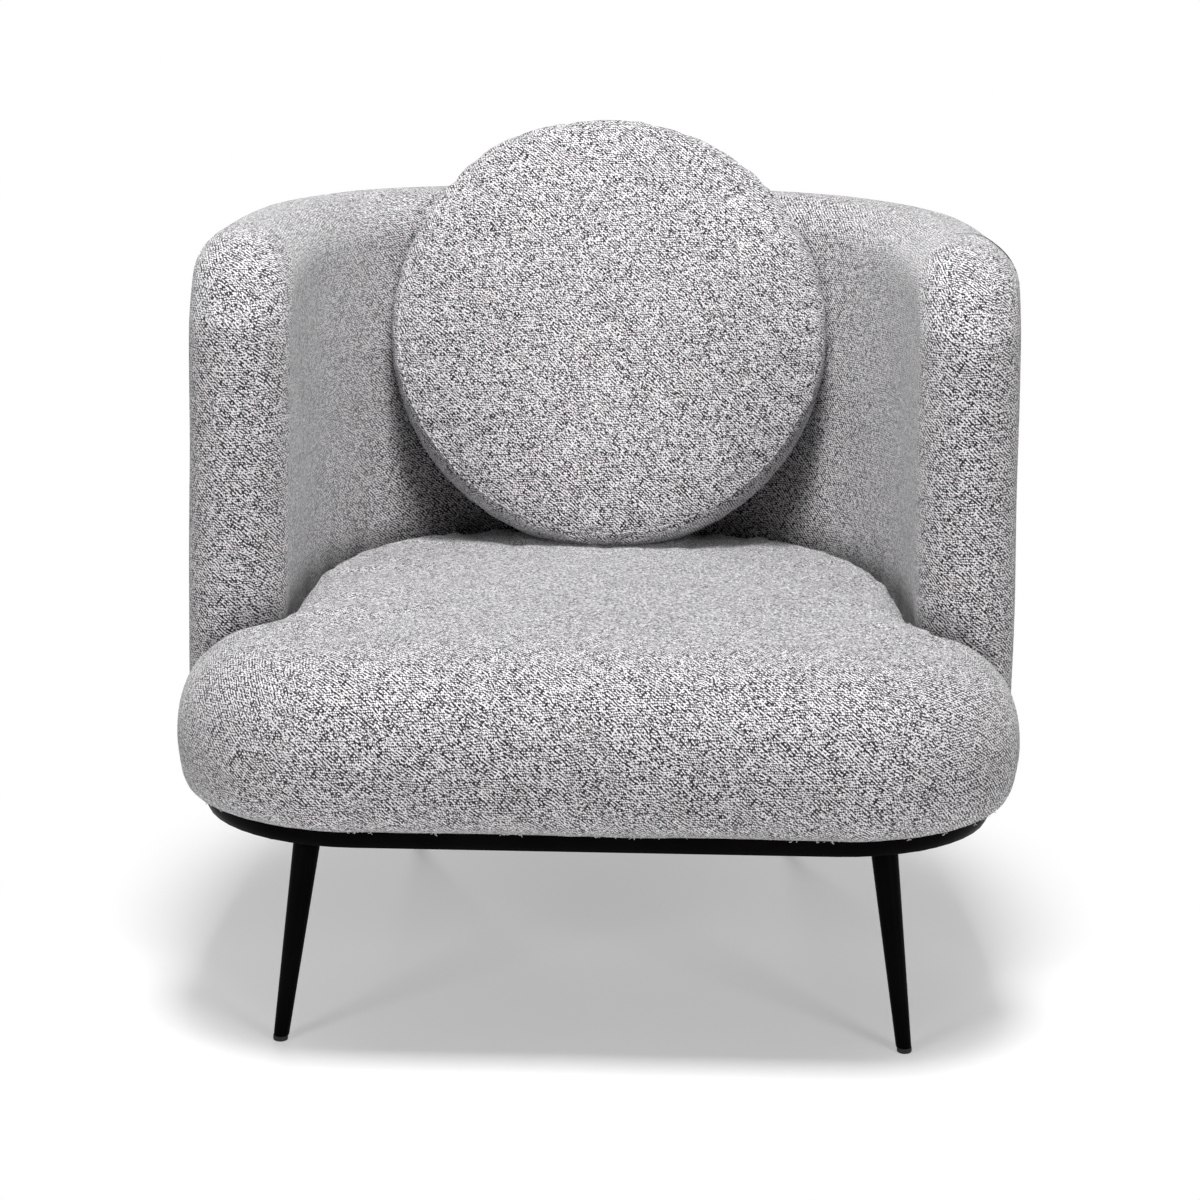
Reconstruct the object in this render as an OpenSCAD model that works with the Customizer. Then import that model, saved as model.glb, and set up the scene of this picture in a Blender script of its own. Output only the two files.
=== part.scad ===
// Tub chair: a wrap-round padded tub on a rounded base, a full-width seat with two ears in front
// of the arms, a loose round back cushion and four splayed tapered legs.
// The frame: X to the right, Y to the back, Z up, origin on the floor under the middle of the chair.

/* [Whole chair] */
// Width over the arms of the tub
overall_w = 816; // [790:2:860]
// Depth from the front of the seat to the back of the tub
overall_d = 818; // [806:1:860]
// Height of the tub's rim above the floor
rim_h = 762; // [735:1:800]
// Gap that soft pieces keep where they touch
snug = 0.4; // [0.3:0.1:0.8]
// Thickness of the cover cloth with its backing
cloth_t = 2.5; // [2:0.5:3.5]

/* [Legs] */
// Height of the base's underside above the floor
leg_h = 208; // [150:1:230]
// Diameter of a leg under its plate
leg_top_d = 27; // [22:1:34]
// Diameter of a leg at the floor
leg_foot_d = 14.5; // [12:0.5:20]
// Wall of the leg's steel tube
leg_wall = 2; // [1.5:0.5:3]
// Distance of a front leg's top from the middle, sideways
leg_top_x = 276; // [250:0.5:286]
// Distance of a front leg's top in front of the middle
leg_top_y = 283.5; // [255:0.5:290]
// Distance of a rear leg's top from the middle, sideways
rear_top_x = 190; // [170:1:205]
// Distance of a rear leg's top behind the middle
rear_top_y = 246; // [225:1:250]
// How far a foot stands outside the top of its leg, sideways
splay_x = 25; // [5:0.5:45]
// How far a foot stands outside the top of its leg, front to back
splay_y = 37.5; // [5:0.5:55]
// Side of the square plate on top of a leg
plate_side = 84; // [76:1:100]
// Thickness of a leg's plate
plate_t = 3; // [2:0.5:5]
// Distance between the screws of a leg's plate
plate_pitch = 60; // [52:1:66]
// Thread diameter of a plate screw
plate_screw_d = 6; // [5:1:8]
// Height of the glide under a foot
glide_h = 5; // [3:0.5:8]

/* [Base] */
// Thickness of the black base panel
base_t = 18; // [15:1:25]
// How far the base stands in from the sides of seat and tub
base_inset = 22; // [16:1:34]
// How far the base stands in from the front of the seat
base_inset_front = 42; // [30:1:52]
// Radius of the base panel's front corners
base_corner = 160; // [110:5:170]
// Radius of the base panel's lower edge
base_edge = 9; // [4:1:12]

/* [Seat] */
// Width of the seat over its two ears
seat_w = 816; // [790:2:860]
// Height of the seat's crown above the floor
seat_h = 405; // [396:1:420]
// Height above the floor at which the seat meets the tub
crease_h = 382; // [368:1:390]
// Radius of the seat's front corners, seen from above
seat_corner = 177; // [150:1:182]
// Radius of the roll along the seat's upper edge
seat_roll = 85; // [60:1:95]
// Height of the roll under seat and tub
under_roll = 50; // [35:1:55]
// Height of the seat frame's rails
rail_h = 66; // [50:1:80]
// Thickness of the seat frame's rails
rail_t = 22; // [18:1:30]
// Width of a webbing strap
strap_w = 50; // [40:5:60]
// Thickness of a webbing strap
strap_t = 1.5; // [1:0.5:2.5]

/* [Tub] */
// Thickness of the arms and of the rim at the back
wall_t = 98; // [90:1:110]
// Forward reach of the arms from the middle of the chair
arm_reach = 207; // [192:0.5:213]
// Radius of the arms' upper front corner, seen from the side
arm_corner = 112; // [85:1:130]
// How far the arms' outsides lean in from seat to rim
batter = 7; // [0:1:14]
// How far the back of the tub leans out from base to rim
back_rake = 28; // [0:1:45]
// Depth of the tub's inside at the seat, from the middle to the back
seat_back_y = 262; // [250:1:275]
// Thickness of the tub's frame between its two boards' outer faces
core_t = 36; // [30:1:42]
// Thickness of the tub's two bent boards
board_t = 4; // [3:0.5:6]

/* [Back cushion] */
// Diameter of the round cushion
cushion_d = 474; // [420:2:486]
// Height of the cushion's side band between its seams
band_h = 66; // [50:2:80]
// Crown of the cushion's front over its seam
crown_front = 22; // [12:1:30]
// Crown of the cushion's rear over its seam
crown_rear = 12; // [6:1:18]
// Lean of the cushion from upright, in degrees
lean = 22; // [16:1:24]
// Distance of the cushion's centre behind the middle of the chair
cushion_y = 207; // [190:1:212]
// Height of the cushion's centre above the floor
cushion_z = 616; // [604:1:636]
// Length of the zip in the cushion's rear panel
zip_len = 236; // [180:2:250]

/* [Hidden] */
$fn = 48;

// Overrun of every cut past the face that it opens
over = 1;
// Play round a screw and round the zip's slider
play = 0.25;

// Places that follow from the driving sizes
front_y = -overall_d / 2;
back_y = overall_d / 2;
base_top = leg_h + base_t;
under_top = base_top + under_roll;
half_w = overall_w / 2;
seat_half = seat_w / 2;
in_half = half_w - wall_t;
nose_r = wall_t / 2;
nose_y = -arm_reach + nose_r;
rim_z = rim_h - nose_r;

// Shape of the tub seen from above: power of its curve and where the straight arms end, as a
// share of the depth, outside and inside at the rim, then inside at the seat
outer_power_share = 2.6;
rim_power_share = 2.7;
low_power_share = 2.5;
arm_end_share = -0.135;
low_end_share = -0.132;
arm_end_y = arm_end_share * overall_d;
low_end_y = low_end_share * overall_d;
quarter_steps = 8;
nose_steps = 6;
// Angles of the rim's roll, and the one at which its flat crest begins
rim_angles = [22, 42, 60, 76];
crest_angle = 76;
// Heights of the rings in the roll under seat and tub, as shares of that roll
under_shares = [0, 0.14, 0.44, 1];

// Blend from a to b
function mix(a, b, t) = a + (b - a) * t;
function clamp(t) = min(1, max(0, t));
// Drop of an arc of radius r at a distance d from its crest
function arc_drop(r, d) = r - sqrt(max(0, r * r - d * d));
// Quarter of a superellipse: half-axes a and b, power p, angle t
function curve(a, b, p, t) = [a * pow(cos(t), 2 / p), b * pow(sin(t), 2 / p)];
function flip_x(pts) = [for (p = pts) [-p.x, p.y]];
function reversed(pts) = [for (i = [len(pts) - 1:-1:0]) pts[i]];
function head(pts) = [for (i = [0:len(pts) - 2]) pts[i]];
function at_z(pts, z) = [for (p = pts) [p.x, p.y, z]];
function unit2(v) = v / norm(v);

// Inset of the under roll at a height, which is all of base_inset at the base
function under_in(z) = z >= under_top ? 0
    : base_inset * (1 - sqrt(max(0, 1 - pow((under_top - z) / under_roll, 2))));
// Outside half-width and back of the tub, and its inside back, at a height
function rise(z) = clamp((z - crease_h) / (rim_z - crease_h));
function side_at(z) = half_w - batter * rise(z);
function back_at(z) = back_y - back_rake * (1 - clamp((z - base_top) / (rim_z - base_top)));
function inside_back(z) = mix(seat_back_y, back_y - wall_t, rise(z));
function inside_end(z) = mix(low_end_y, arm_end_y, rise(z));
function inside_power(z) = mix(low_power_share, rim_power_share, rise(z));
// How far the arm's front draws back at a height, for its rounded upper corner
function nose_back(z) = z <= rim_h - arm_corner ? 0
    : arc_drop(arm_corner, z - rim_h + arm_corner);
// Shortest straight flank between the arm's rounded front and its curve
flank_share = 0.08;
flank = flank_share * wall_t;

// Triangles of a skin through rings of n points, and its end caps. The first few rows may run
// down instead of up, and then split their squares the other way, apart from the row up.
// c is the place of the ring's tip in a C-shaped ring, and half of n its pairs of points.
function skin(n, rows, down = 0, up = -1) = [for (k = [0:rows - 2], i = [0:n - 1]) let (j = (i + 1) % n)
    each k < down && k != up
        ? [[k * n + i, (k + 1) * n + i, k * n + j], [(k + 1) * n + i, (k + 1) * n + j, k * n + j]]
        : [[k * n + i, (k + 1) * n + i, (k + 1) * n + j], [k * n + i, (k + 1) * n + j, k * n + j]]];
function turned(faces) = [for (f = faces) [f[0], f[2], f[1]]];
function c_cap(n, first, c) = [for (k = [0:n / 2 - 1])
    let (a = (c - k + n) % n, b = (c + k) % n, a1 = (c - k - 1 + n) % n, b1 = (c + k + 1) % n)
    each concat(k < n / 2 - 1 ? [[first + a, first + a1, first + b1]] : [[first + a, first + a1, first + b]],
        k > 0 && k < n / 2 - 1 ? [[first + a, first + b1, first + b]] : [])];
// The same for a C-shaped ring whose arms end square, with no point at the tip: c starts its far end
function square_cap(n, first, c) = [for (k = [0:n / 2 - 2])
    let (a = (c - k + n) % n, b = (c + 1 + k) % n, a1 = (c - k - 1 + n) % n, b1 = (c + 2 + k) % n)
    each [[first + a, first + a1, first + b1], [first + a, first + b1, first + b]]];
function fan(n, first, centre) = [for (i = [0:n - 1]) [first + (i + 1) % n, first + i, centre]];
// Solid from C-shaped rings, and solid from rings that close on a first and a last point
module c_solid(rings, c, down = 0) {
    n = len(rings[0]);
    m = len(rings);
    polyhedron([for (r = rings) each r],
        concat(skin(n, m, down), turned(c_cap(n, 0, c)), c_cap(n, (m - 1) * n, c)));
}
module capped(first, rings, last, down = 0, up = -1) {
    n = len(rings[0]);
    m = len(rings);
    polyhedron(concat([for (r = rings) each r], [first, last]),
        concat(skin(n, m, down, up), turned(fan(n, 0, m * n)), fan(n, (m - 1) * n, m * n + 1)));
}
// The same with the seat's own flat underside in place of the first point
module flat_based(rings, last) {
    n = len(rings[0]);
    m = len(rings);
    polyhedron(concat([for (r = rings) each r], [last]),
        concat(underside(n), skin(n, m), fan(n, (m - 1) * n, m * n)));
}
module ring_solid(rings) {
    n = len(rings[0]);
    m = len(rings);
    polyhedron([for (r = rings) each r],
        [for (f = skin(n, m + 1, m)) [for (v = f) v % (n * m)]]);
}

// One ring of the tub: s is the rim roll's inset and d the inset of a layer under the cover
function tub_loop(z, s, d) = let (
    w = side_at(z) - under_in(z) - s - d,
    yb = back_at(z) - under_in(z) - s - d,
    wi = side_at(z) - wall_t + s + d,
    yi = inside_back(z) + s + d,
    yn = nose_y + max(0, nose_back(z) - s),
    a = max(arm_end_y, yn + flank),
    e = max(inside_end(z), yn + flank),
    xm = (w + wi) / 2,
    r = (w - wi) / 2,
    turns = [for (k = [0:quarter_steps]) 90 * k / quarter_steps],
    outer = concat([[w, yn]], [for (t = turns) let (q = curve(w, yb - a, outer_power_share, t))
        [q.x, a + q.y]]),
    inner = concat([[wi, yn]], [for (t = turns) let (q = curve(wi, yi - e, inside_power(z), t))
        [q.x, e + q.y]]),
    nose = [for (k = [1:nose_steps - 1]) let (t = 180 * k / nose_steps)
        [xm + r * cos(t), yn - r * sin(t)]])
    at_z(concat(outer, flip_x(reversed(head(outer))), flip_x(nose), flip_x(inner),
        reversed(head(inner)), reversed(nose)), z);
// Place of the left arm's tip in such a ring
tub_tip = 2 * quarter_steps + 2 + nose_steps / 2;
// Rings of the tub from the base to the rim under a layer of thickness d
function tub_rings(d) = concat(
    [for (q = under_shares) tub_loop(base_top + under_roll * q, 0, d)],
    [for (z = [crease_h, (crease_h + rim_h - arm_corner) / 2, rim_h - arm_corner,
        (rim_h - arm_corner + rim_z) / 2, rim_z]) tub_loop(z - d * rise(z), 0, d)],
    [for (a = rim_angles) let (s = nose_r * (1 - cos(a)), z = rim_z + nose_r * sin(a) / sin(crest_angle))
        [for (p = tub_loop(z, s * (1 - d / nose_r), d)) [p.x, p.y, z - d]]]);

// The tub's frame: its outer face at a height, and a point on it at a depth d and a place u,
// which runs from -1 at the arm's front over 0 at the arm's end to 1 at the middle of the back
core_drop_share = 0.2;
core_top = rim_z - core_drop_share * nose_r;
core_bottom_x = half_w - base_inset - 2 * cloth_t;
core_bottom_y = back_y - back_rake - base_inset - 2 * cloth_t;
core_front_y = nose_y + cloth_t;
function core_x(z) = mix(core_bottom_x, half_w - batter - (wall_t - core_t) / 2,
    (z - base_top) / (core_top - base_top));
function core_y(z) = mix(core_bottom_y, back_y - (wall_t - core_t) / 2,
    (z - base_top) / (core_top - base_top));
function core_at(z, d, u) = u <= 0 ? [core_x(z) - d, mix(arm_end_y, core_front_y, -u)]
    : let (q = curve(core_x(z) - d, core_y(z) - d - arm_end_y, outer_power_share, 90 * u))
        [q.x, arm_end_y + q.y];
// The same place on the flats between the frame's corners
function core_on(z, d, u) = u <= 0 ? core_at(z, d, u) : let (k = floor(u * quarter_steps))
    mix(core_at(z, d, k / quarter_steps), core_at(z, d, (k + 1) / quarter_steps), u * quarter_steps - k);
// One ring of the frame between two depths, whose front ends bow out by a little
function core_loop(z, d0, d1, ends, bow) = let (
    places = concat([-1], [for (k = [0:quarter_steps]) k / quarter_steps]),
    outer = [for (u = places) core_at(z, d0, u)],
    inner = [for (u = places) core_at(z, d1, u)],
    front = ends < 2 ? [] : [for (k = [1:ends - 1])
        mix(outer[0], inner[0], k / ends) - [0, bow * sin(180 * k / ends)]])
    at_z(concat(outer, flip_x(reversed(head(outer))), flip_x(front), flip_x(inner),
        reversed(head(inner)), reversed(front)), z);
module frame_layer(z0, z1, d0, d1) {
    rings = [core_loop(z0, d0, d1, 1, 0), core_loop(z1, d0, d1, 1, 0)];
    n = len(rings[0]);
    last = n / 2 - 1;
    polyhedron(concat(rings[0], rings[1]),
        concat(skin(n, 2), turned(square_cap(n, 0, last)), square_cap(n, n, last)));
}

// Plan of the seat, right half from the middle of the front to the middle of the back: the
// free edge, the ear's rounded rear, the fit round the arm's nose and the fit inside the tub
ear_angle = 60;
ear_share = 0.8;
corner_steps = 6;
around_steps = 5;
seat_free = concat(
    [[0, front_y], [(seat_half - seat_corner) / 2, front_y]],
    [for (k = [0:corner_steps]) let (t = 90 * k / corner_steps)
        [seat_half - seat_corner * (1 - sin(t)), front_y + seat_corner * (1 - cos(t))]]);
// Radius of the fit round the nose, whose flats clear the nose by the gap
fit_r = (nose_r + 2 * snug) / cos((180 - ear_angle) / around_steps / 2);
ear_end = [half_w - nose_r + fit_r * cos(ear_angle), nose_y - fit_r * sin(ear_angle)];
ear_round = ear_share * (ear_end.y - front_y - seat_corner);
seat_ear = [[seat_half, ear_end.y - ear_round],
    [seat_half - ear_round * (1 - cos(45)), ear_end.y - ear_round * (1 - sin(45))]];
seat_nose = [for (k = [0:around_steps]) let (t = mix(ear_angle, 180, k / around_steps))
    [half_w - nose_r + fit_r * cos(t), nose_y - fit_r * sin(t)]];
seat_inside = [for (k = [0:quarter_steps])
    let (q = curve(in_half - snug, seat_back_y - low_end_y - snug, low_power_share, 90 * k / quarter_steps))
    [q.x, low_end_y + q.y]];
seat_plan = concat(seat_free, seat_ear, seat_nose, seat_inside);
free_count = len(seat_free);
ear_count = len(seat_ear);
nose_count = len(seat_nose);
// How free each point of the plan is of the tub
free_shares = [0.6, 0.3];
function free_share(i) = i <= free_count ? 1 : i <= free_count + 2 ? free_shares[i - free_count - 1] : 0;
// The loop well inside the plan that the seat's rolls run in to
core_in_share = 0.265;
seat_in = core_in_share * seat_half;
tub_in_share = 0.55;
tub_in = tub_in_share * seat_in;
side_in_x = seat_half - seat_in;
side_in_y = front_y + seat_corner;
end_in_x = in_half - tub_in;
// How late that loop turns in past the nose, and how evenly it climbs there
lag_share = 0.9;
drift_share = 0.1;
seat_inner = concat(
    [for (p = seat_free) [p.x - (p.x > seat_half - seat_corner ? seat_in * (p.x - seat_half + seat_corner)
        / seat_corner : 0), p.y + (p.y < side_in_y ? seat_in * (side_in_y - p.y) / seat_corner : 0)]],
    [for (k = [1:ear_count + nose_count]) let (t = k / (ear_count + nose_count + 1))
        [mix(side_in_x, end_in_x, t * mix(1, t, lag_share)),
            mix(side_in_y, low_end_y, t * mix(t * t, 1, drift_share))]],
    [for (k = [0:quarter_steps])
        let (q = curve(end_in_x, seat_back_y - low_end_y - tub_in, low_power_share, 90 * k / quarter_steps))
        [q.x, low_end_y + q.y]]);
// Distance of a place from the seat's free edge
function from_edge(p) = let (qx = abs(p.x) - seat_half + seat_corner, qy = front_y + seat_corner - p.y)
    seat_corner - norm([max(qx, 0), max(qy, 0)]) - min(max(qx, qy), 0);
// Height of the seat's top at a place, under a layer of thickness d
crown_x_share = 0.94;
crown_y_share = 0.485;
crown_mid_share = -0.12;
crown_mid_y = crown_mid_share * overall_d;
crown_lip = 2;
seat_low = crease_h + crown_lip;
function seat_top(p, d) = let (
    cx = max(0, 1 - pow(p.x / (crown_x_share * seat_half), 2)),
    cy = max(0, 1 - pow((p.y - crown_mid_y) / (crown_y_share * overall_d), 2)),
    e = from_edge(p) - d)
    seat_low + (seat_h - seat_low) * cx * cy - d
    - (e < seat_roll - d ? arc_drop(seat_roll - d, seat_roll - d - max(0, e)) : 0);
// How deep the seam sinks beside the tub on each ring from the edge, as shares of the sink
crease_sink = 8;
sink_shares = [1, 0.35, 0.06, 0, 0];
roll_angles = [0, 22.5, 45, 67.5, 90];
inner_shares = [0.62, 0.3];
seat_mid_share = -0.1;
seat_mid = [0, seat_mid_share * overall_d];
half_points = len(seat_plan);
// Flat underside of the seat's first ring: strips across it from front to rear, with the points
// of its straight front and the tip of each ear as triangles of their own
ear_tip = free_count + ear_count;
function underside(n) = let (rear = n / 2, row = [for (i = [3:rear - 1]) if (i != ear_tip) i])
    concat([[0, 1, 3], [1, 2, 3], [0, 3, n - 3], [n - 1, 0, n - 3], [n - 2, n - 1, n - 3],
        [ear_tip - 1, ear_tip, ear_tip + 1], [n - ear_tip - 1, n - ear_tip, n - ear_tip + 1],
        [rear - 1, rear, rear + 1]],
    [for (k = [0:len(row) - 2]) let (a = row[k], b = row[k + 1])
        each [[a, b, n - b], [a, n - b, n - a]]]);
function seat_dir(i) = unit2(seat_inner[i] - seat_plan[i]);
function inset_at(i) = free_share(i) * mix(base_inset, base_inset_front,
    clamp((side_in_y - seat_plan[i].y) / seat_corner));
function both(pts) = concat(pts, [for (i = [len(pts) - 2:-1:1]) [-pts[i].x, pts[i].y, pts[i].z]]);
// Rings of the seat from the base to the crown under a layer of thickness d
function seat_rings(d) = concat(
    [for (q = under_shares) both([for (i = [0:half_points - 1])
        let (p = seat_plan[i] + seat_dir(i) * (inset_at(i) * (1 - sqrt(1 - pow(1 - q, 2))) + d))
        [p.x, p.y, base_top + under_roll * q]])],
    [for (k = [0:len(roll_angles) - 1]) both([for (i = [0:half_points - 1])
        let (edge = seat_plan[i] + seat_dir(i) * d,
            reach = max(norm(seat_inner[i] - edge), 1),
            p = mix(edge, seat_inner[i], min(1, seat_roll * (1 - cos(roll_angles[k])) / reach)))
        [p.x, p.y, seat_top(p, d) - crease_sink * sink_shares[k] * (1 - free_share(i))]])],
    [both([for (p = seat_inner) [p.x, p.y, seat_top(p, d)]])],
    [for (f = inner_shares) both([for (q = seat_inner) let (p = mix(seat_mid, q, f))
        [p.x, p.y, seat_top(p, d)]])]);
function seat_peak(d) = [seat_mid.x, seat_mid.y, seat_top(seat_mid, d)];

// The seat's frame, whose rear corners lie inside the tub's curve
frame_side_share = 0.75;
frame_half = frame_side_share * in_half;
frame_front_y = front_y + base_inset_front + rail_t;
frame_back_y = low_end_y - rail_t / 2 + (seat_back_y - low_end_y)
    * pow(1 - pow(frame_side_share, low_power_share), 1 / low_power_share);
rail_top = base_top + rail_h;
strap_top = rail_top + 2 * strap_t;

// Half of the base panel's edge, right side from the front to the back, at an inset d. It follows
// the seat in front and the tub behind.
base_steps = 12;
function base_edge_pts(d) = let (w = seat_half - base_inset - d, wt = half_w - base_inset - d,
    yb = back_at(base_top) - base_inset - d,
    f = front_y + base_inset_front + d, r = base_corner - d)
    concat([[0, f], [(w - r) / 2, f]],
        [for (k = [0:base_steps]) let (t = 90 * k / base_steps) [w - r * (1 - sin(t)), f + r * (1 - cos(t))]],
        [for (k = [0:base_steps]) let (q = curve(wt, yb - arm_end_y, outer_power_share, 90 * k / base_steps))
            [q.x, arm_end_y + q.y]]);
function base_ring(d, z) = both(at_z(base_edge_pts(d), z));

// Legs: a tapered tube on the line from a plate down to a foot
leg_len = norm([splay_x, splay_y, leg_h - plate_t]);
leg_tilt = atan2(norm([splay_x, splay_y]), leg_h - plate_t);
leg_turn = atan2(-splay_y, splay_x);
// The front right leg's line seen from its own plate, with the plate's middle at the origin
module leg_cone(wall)
    translate([splay_x, -splay_y, 0])
    rotate([0, -leg_tilt, leg_turn])
    translate([0, 0, -leg_top_d])
    cylinder(h = leg_len + 2 * leg_top_d,
        d1 = leg_foot_d - 2 * wall - (leg_top_d - leg_foot_d) * leg_top_d / leg_len,
        d2 = leg_top_d - 2 * wall + (leg_top_d - leg_foot_d) * leg_top_d / leg_len);
module level_slab(z0, z1)
    translate([-overall_w, -overall_d, z0]) cube([2 * overall_w, 2 * overall_d, z1 - z0]);
module one_leg() color("black")
    difference() {
        intersection() {
            leg_cone(0);
            level_slab(glide_h, leg_h - plate_t);
        }
        leg_cone(leg_wall);
    }
module at_front() translate([leg_top_x, -leg_top_y, 0]) children();
module at_rear() translate([rear_top_x, rear_top_y, 0]) mirror([0, 1, 0]) children();
module front_right_leg() at_front() one_leg();
module front_left_leg() mirror([1, 0, 0]) at_front() one_leg();
module rear_right_leg() at_rear() one_leg();
module rear_left_leg() mirror([1, 0, 0]) at_rear() one_leg();
module at_legs()
    for (mx = [0, 1]) mirror([mx, 0, 0]) {
        at_front() children();
        at_rear() children();
    }
module at_plate_screws() at_legs()
    for (sx = [-1, 1], sy = [-1, 1]) translate([sx * plate_pitch / 2, sy * plate_pitch / 2, 0]) children();

plate_corner = (plate_side - plate_pitch) / 2;
module plate_outline() {
    square([plate_side, plate_side - 2 * plate_corner], center = true);
    square([plate_side - 2 * plate_corner, plate_side], center = true);
    for (sx = [-1, 1], sy = [-1, 1]) translate([sx * plate_pitch / 2, sy * plate_pitch / 2])
        circle(r = plate_corner);
}
module leg_plates() color("black")
    difference() {
        at_legs() translate([0, 0, leg_h - plate_t]) linear_extrude(plate_t) plate_outline();
        at_plate_screws() translate([0, 0, leg_h - plate_t - over])
            cylinder(h = plate_t + 2 * over, d = plate_screw_d + 2 * play);
    }

// Plate screws turn up into threaded inserts that sit in the base panel
insert_wall = plate_screw_d / 3;
insert_h = base_t - 4 * snug;
head_h = plate_screw_d / 2;
module leg_screws() color("dimgray")
    at_plate_screws() {
        translate([0, 0, leg_h - plate_t - head_h]) cylinder(h = head_h, d = 2 * plate_screw_d);
        translate([0, 0, leg_h - plate_t - over / 2])
            cylinder(h = plate_t + insert_h - head_h + over / 2, d = plate_screw_d);
    }
module base_inserts() color("silver")
    at_plate_screws() difference() {
        translate([0, 0, leg_h]) cylinder(h = insert_h, d = plate_screw_d + 2 * insert_wall);
        translate([0, 0, leg_h - over]) cylinder(h = insert_h + 2 * over, d = plate_screw_d + play);
    }

// A glide is a rounded pad on a stem that fills the end of its leg
stem_play = play / 2;
stem_h = 3 * glide_h;
glide_edge = glide_h / 3;
module foot_glides() color("black") at_legs() {
    translate([splay_x, -splay_y, 0]) rotate_extrude() {
        square([leg_foot_d / 2 - glide_edge, glide_h]);
        translate([0, glide_edge]) square([leg_foot_d / 2, glide_h - glide_edge]);
        intersection() {
            translate([leg_foot_d / 2 - glide_edge, glide_edge]) circle(r = glide_edge);
            square([leg_foot_d / 2, glide_h]);
        }
    }
    intersection() {
        leg_cone(leg_wall + stem_play);
        level_slab(glide_h / 2, glide_h + stem_h);
        translate([splay_x, -splay_y, 0]) cylinder(h = glide_h + stem_h, d = leg_foot_d);
    }
}

// Long screws hold both frames down: heads under the base panel, shanks up into the rails
frame_screw_d = 5;
frame_screw_places = [-0.5, 0.22, 0.55];
frame_screw_h = rail_h / 2;
rail_mid = (core_t - 2 * board_t) / 2 + board_t;
module at_frame_screws() {
    for (sx = [-1, 1], u = frame_screw_places) let (p = core_at(base_top, rail_mid, u))
        translate([sx * p.x, p.y, 0]) children();
    for (sx = [-1, 1], sy = [-1, 1])
        translate([sx * (frame_half - rail_t / 2), sy * frame_half / 2, 0]) children();
    for (sx = [-1, 1])
        translate([sx * frame_half / 2, frame_front_y + rail_t / 2, 0]) children();
}
module screw_holes(d) at_frame_screws()
    translate([0, 0, leg_h - over]) cylinder(h = base_t + frame_screw_h + over, d = d);
module frame_screws() color("silver") at_frame_screws() {
    translate([0, 0, leg_h - frame_screw_d / 2]) cylinder(h = frame_screw_d / 2, d = 2 * frame_screw_d);
    translate([0, 0, leg_h - over / 2])
        cylinder(h = base_t + frame_screw_h - frame_screw_d + over / 2, d = frame_screw_d);
}

// Rings of the base panel's rounded lower edge, as angles of its quarter round
edge_angles = [0, 40, 90];
module base_panel() color("black")
    difference() {
        capped([0, 0, leg_h],
            concat([for (a = edge_angles)
                base_ring(base_edge * (1 - sin(a)), leg_h + base_edge * (1 - cos(a)))],
                [base_ring(0, base_top)]),
            [0, 0, base_top]);
        at_plate_screws() translate([0, 0, leg_h - over])
            cylinder(h = insert_h + over, d = plate_screw_d + 2 * insert_wall);
        screw_holes(frame_screw_d + 2 * play);
    }

// Seat frame, webbing and foam
module rail_box(x0, x1, y0, y1, h)
    translate([x0, y0, base_top]) cube([x1 - x0, y1 - y0, h]);
module seat_front_rail() color("burlywood") difference() {
    rail_box(-frame_half, frame_half, frame_front_y, frame_front_y + rail_t, rail_h);
    screw_holes(frame_screw_d + play);
}
module seat_rear_rail() color("burlywood")
    rail_box(-frame_half, frame_half, frame_back_y - rail_t, frame_back_y, rail_h);
module seat_side_rails() color("burlywood") difference() {
    for (sx = [0, 1]) mirror([sx, 0, 0])
        rail_box(frame_half - rail_t, frame_half, frame_front_y + rail_t, frame_back_y - rail_t,
            rail_h + strap_t);
    screw_holes(frame_screw_d + play);
}
block_side = 3 * rail_t;
module seat_corner_blocks() color("burlywood")
    for (sx = [0, 1]) mirror([sx, 0, 0]) {
        translate([frame_half - rail_t, frame_front_y + rail_t, base_top])
            linear_extrude(rail_h) polygon([[0, 0], [-block_side, 0], [0, block_side]]);
        translate([frame_half - rail_t, frame_back_y - rail_t, base_top])
            linear_extrude(rail_h) polygon([[0, 0], [0, -block_side], [-block_side, 0]]);
    }
lengthwise_count = 5;
crosswise_count = 5;
module seat_straps_lengthwise() color("tan")
    for (k = [0:lengthwise_count - 1]) let (span = 2 * frame_half - 2 * rail_t,
        x = span * ((k + 0.5) / lengthwise_count - 0.5))
        translate([x - strap_w / 2, frame_front_y, rail_top])
        cube([strap_w, frame_back_y - frame_front_y, strap_t]);
module seat_straps_crosswise() color("tan")
    for (k = [0:crosswise_count - 1]) let (span = frame_back_y - frame_front_y - 2 * rail_t,
        y = frame_front_y + rail_t + span * (k + 0.5) / crosswise_count)
        translate([-frame_half, y - strap_w / 2, rail_top + strap_t])
        cube([2 * frame_half, strap_w, strap_t]);
module seat_foam() color("khaki")
    difference() {
        flat_based(seat_rings(cloth_t), seat_peak(cloth_t));
        translate([-frame_half, frame_front_y, base_top - over])
            cube([2 * frame_half, frame_back_y - frame_front_y, strap_top - base_top + over]);
    }
module seat_cover() color("lightgray")
    capped(seat_peak(cloth_t), concat(reversed(seat_rings(cloth_t)), seat_rings(0)), seat_peak(0),
        len(seat_rings(0)) - 1);

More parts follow.
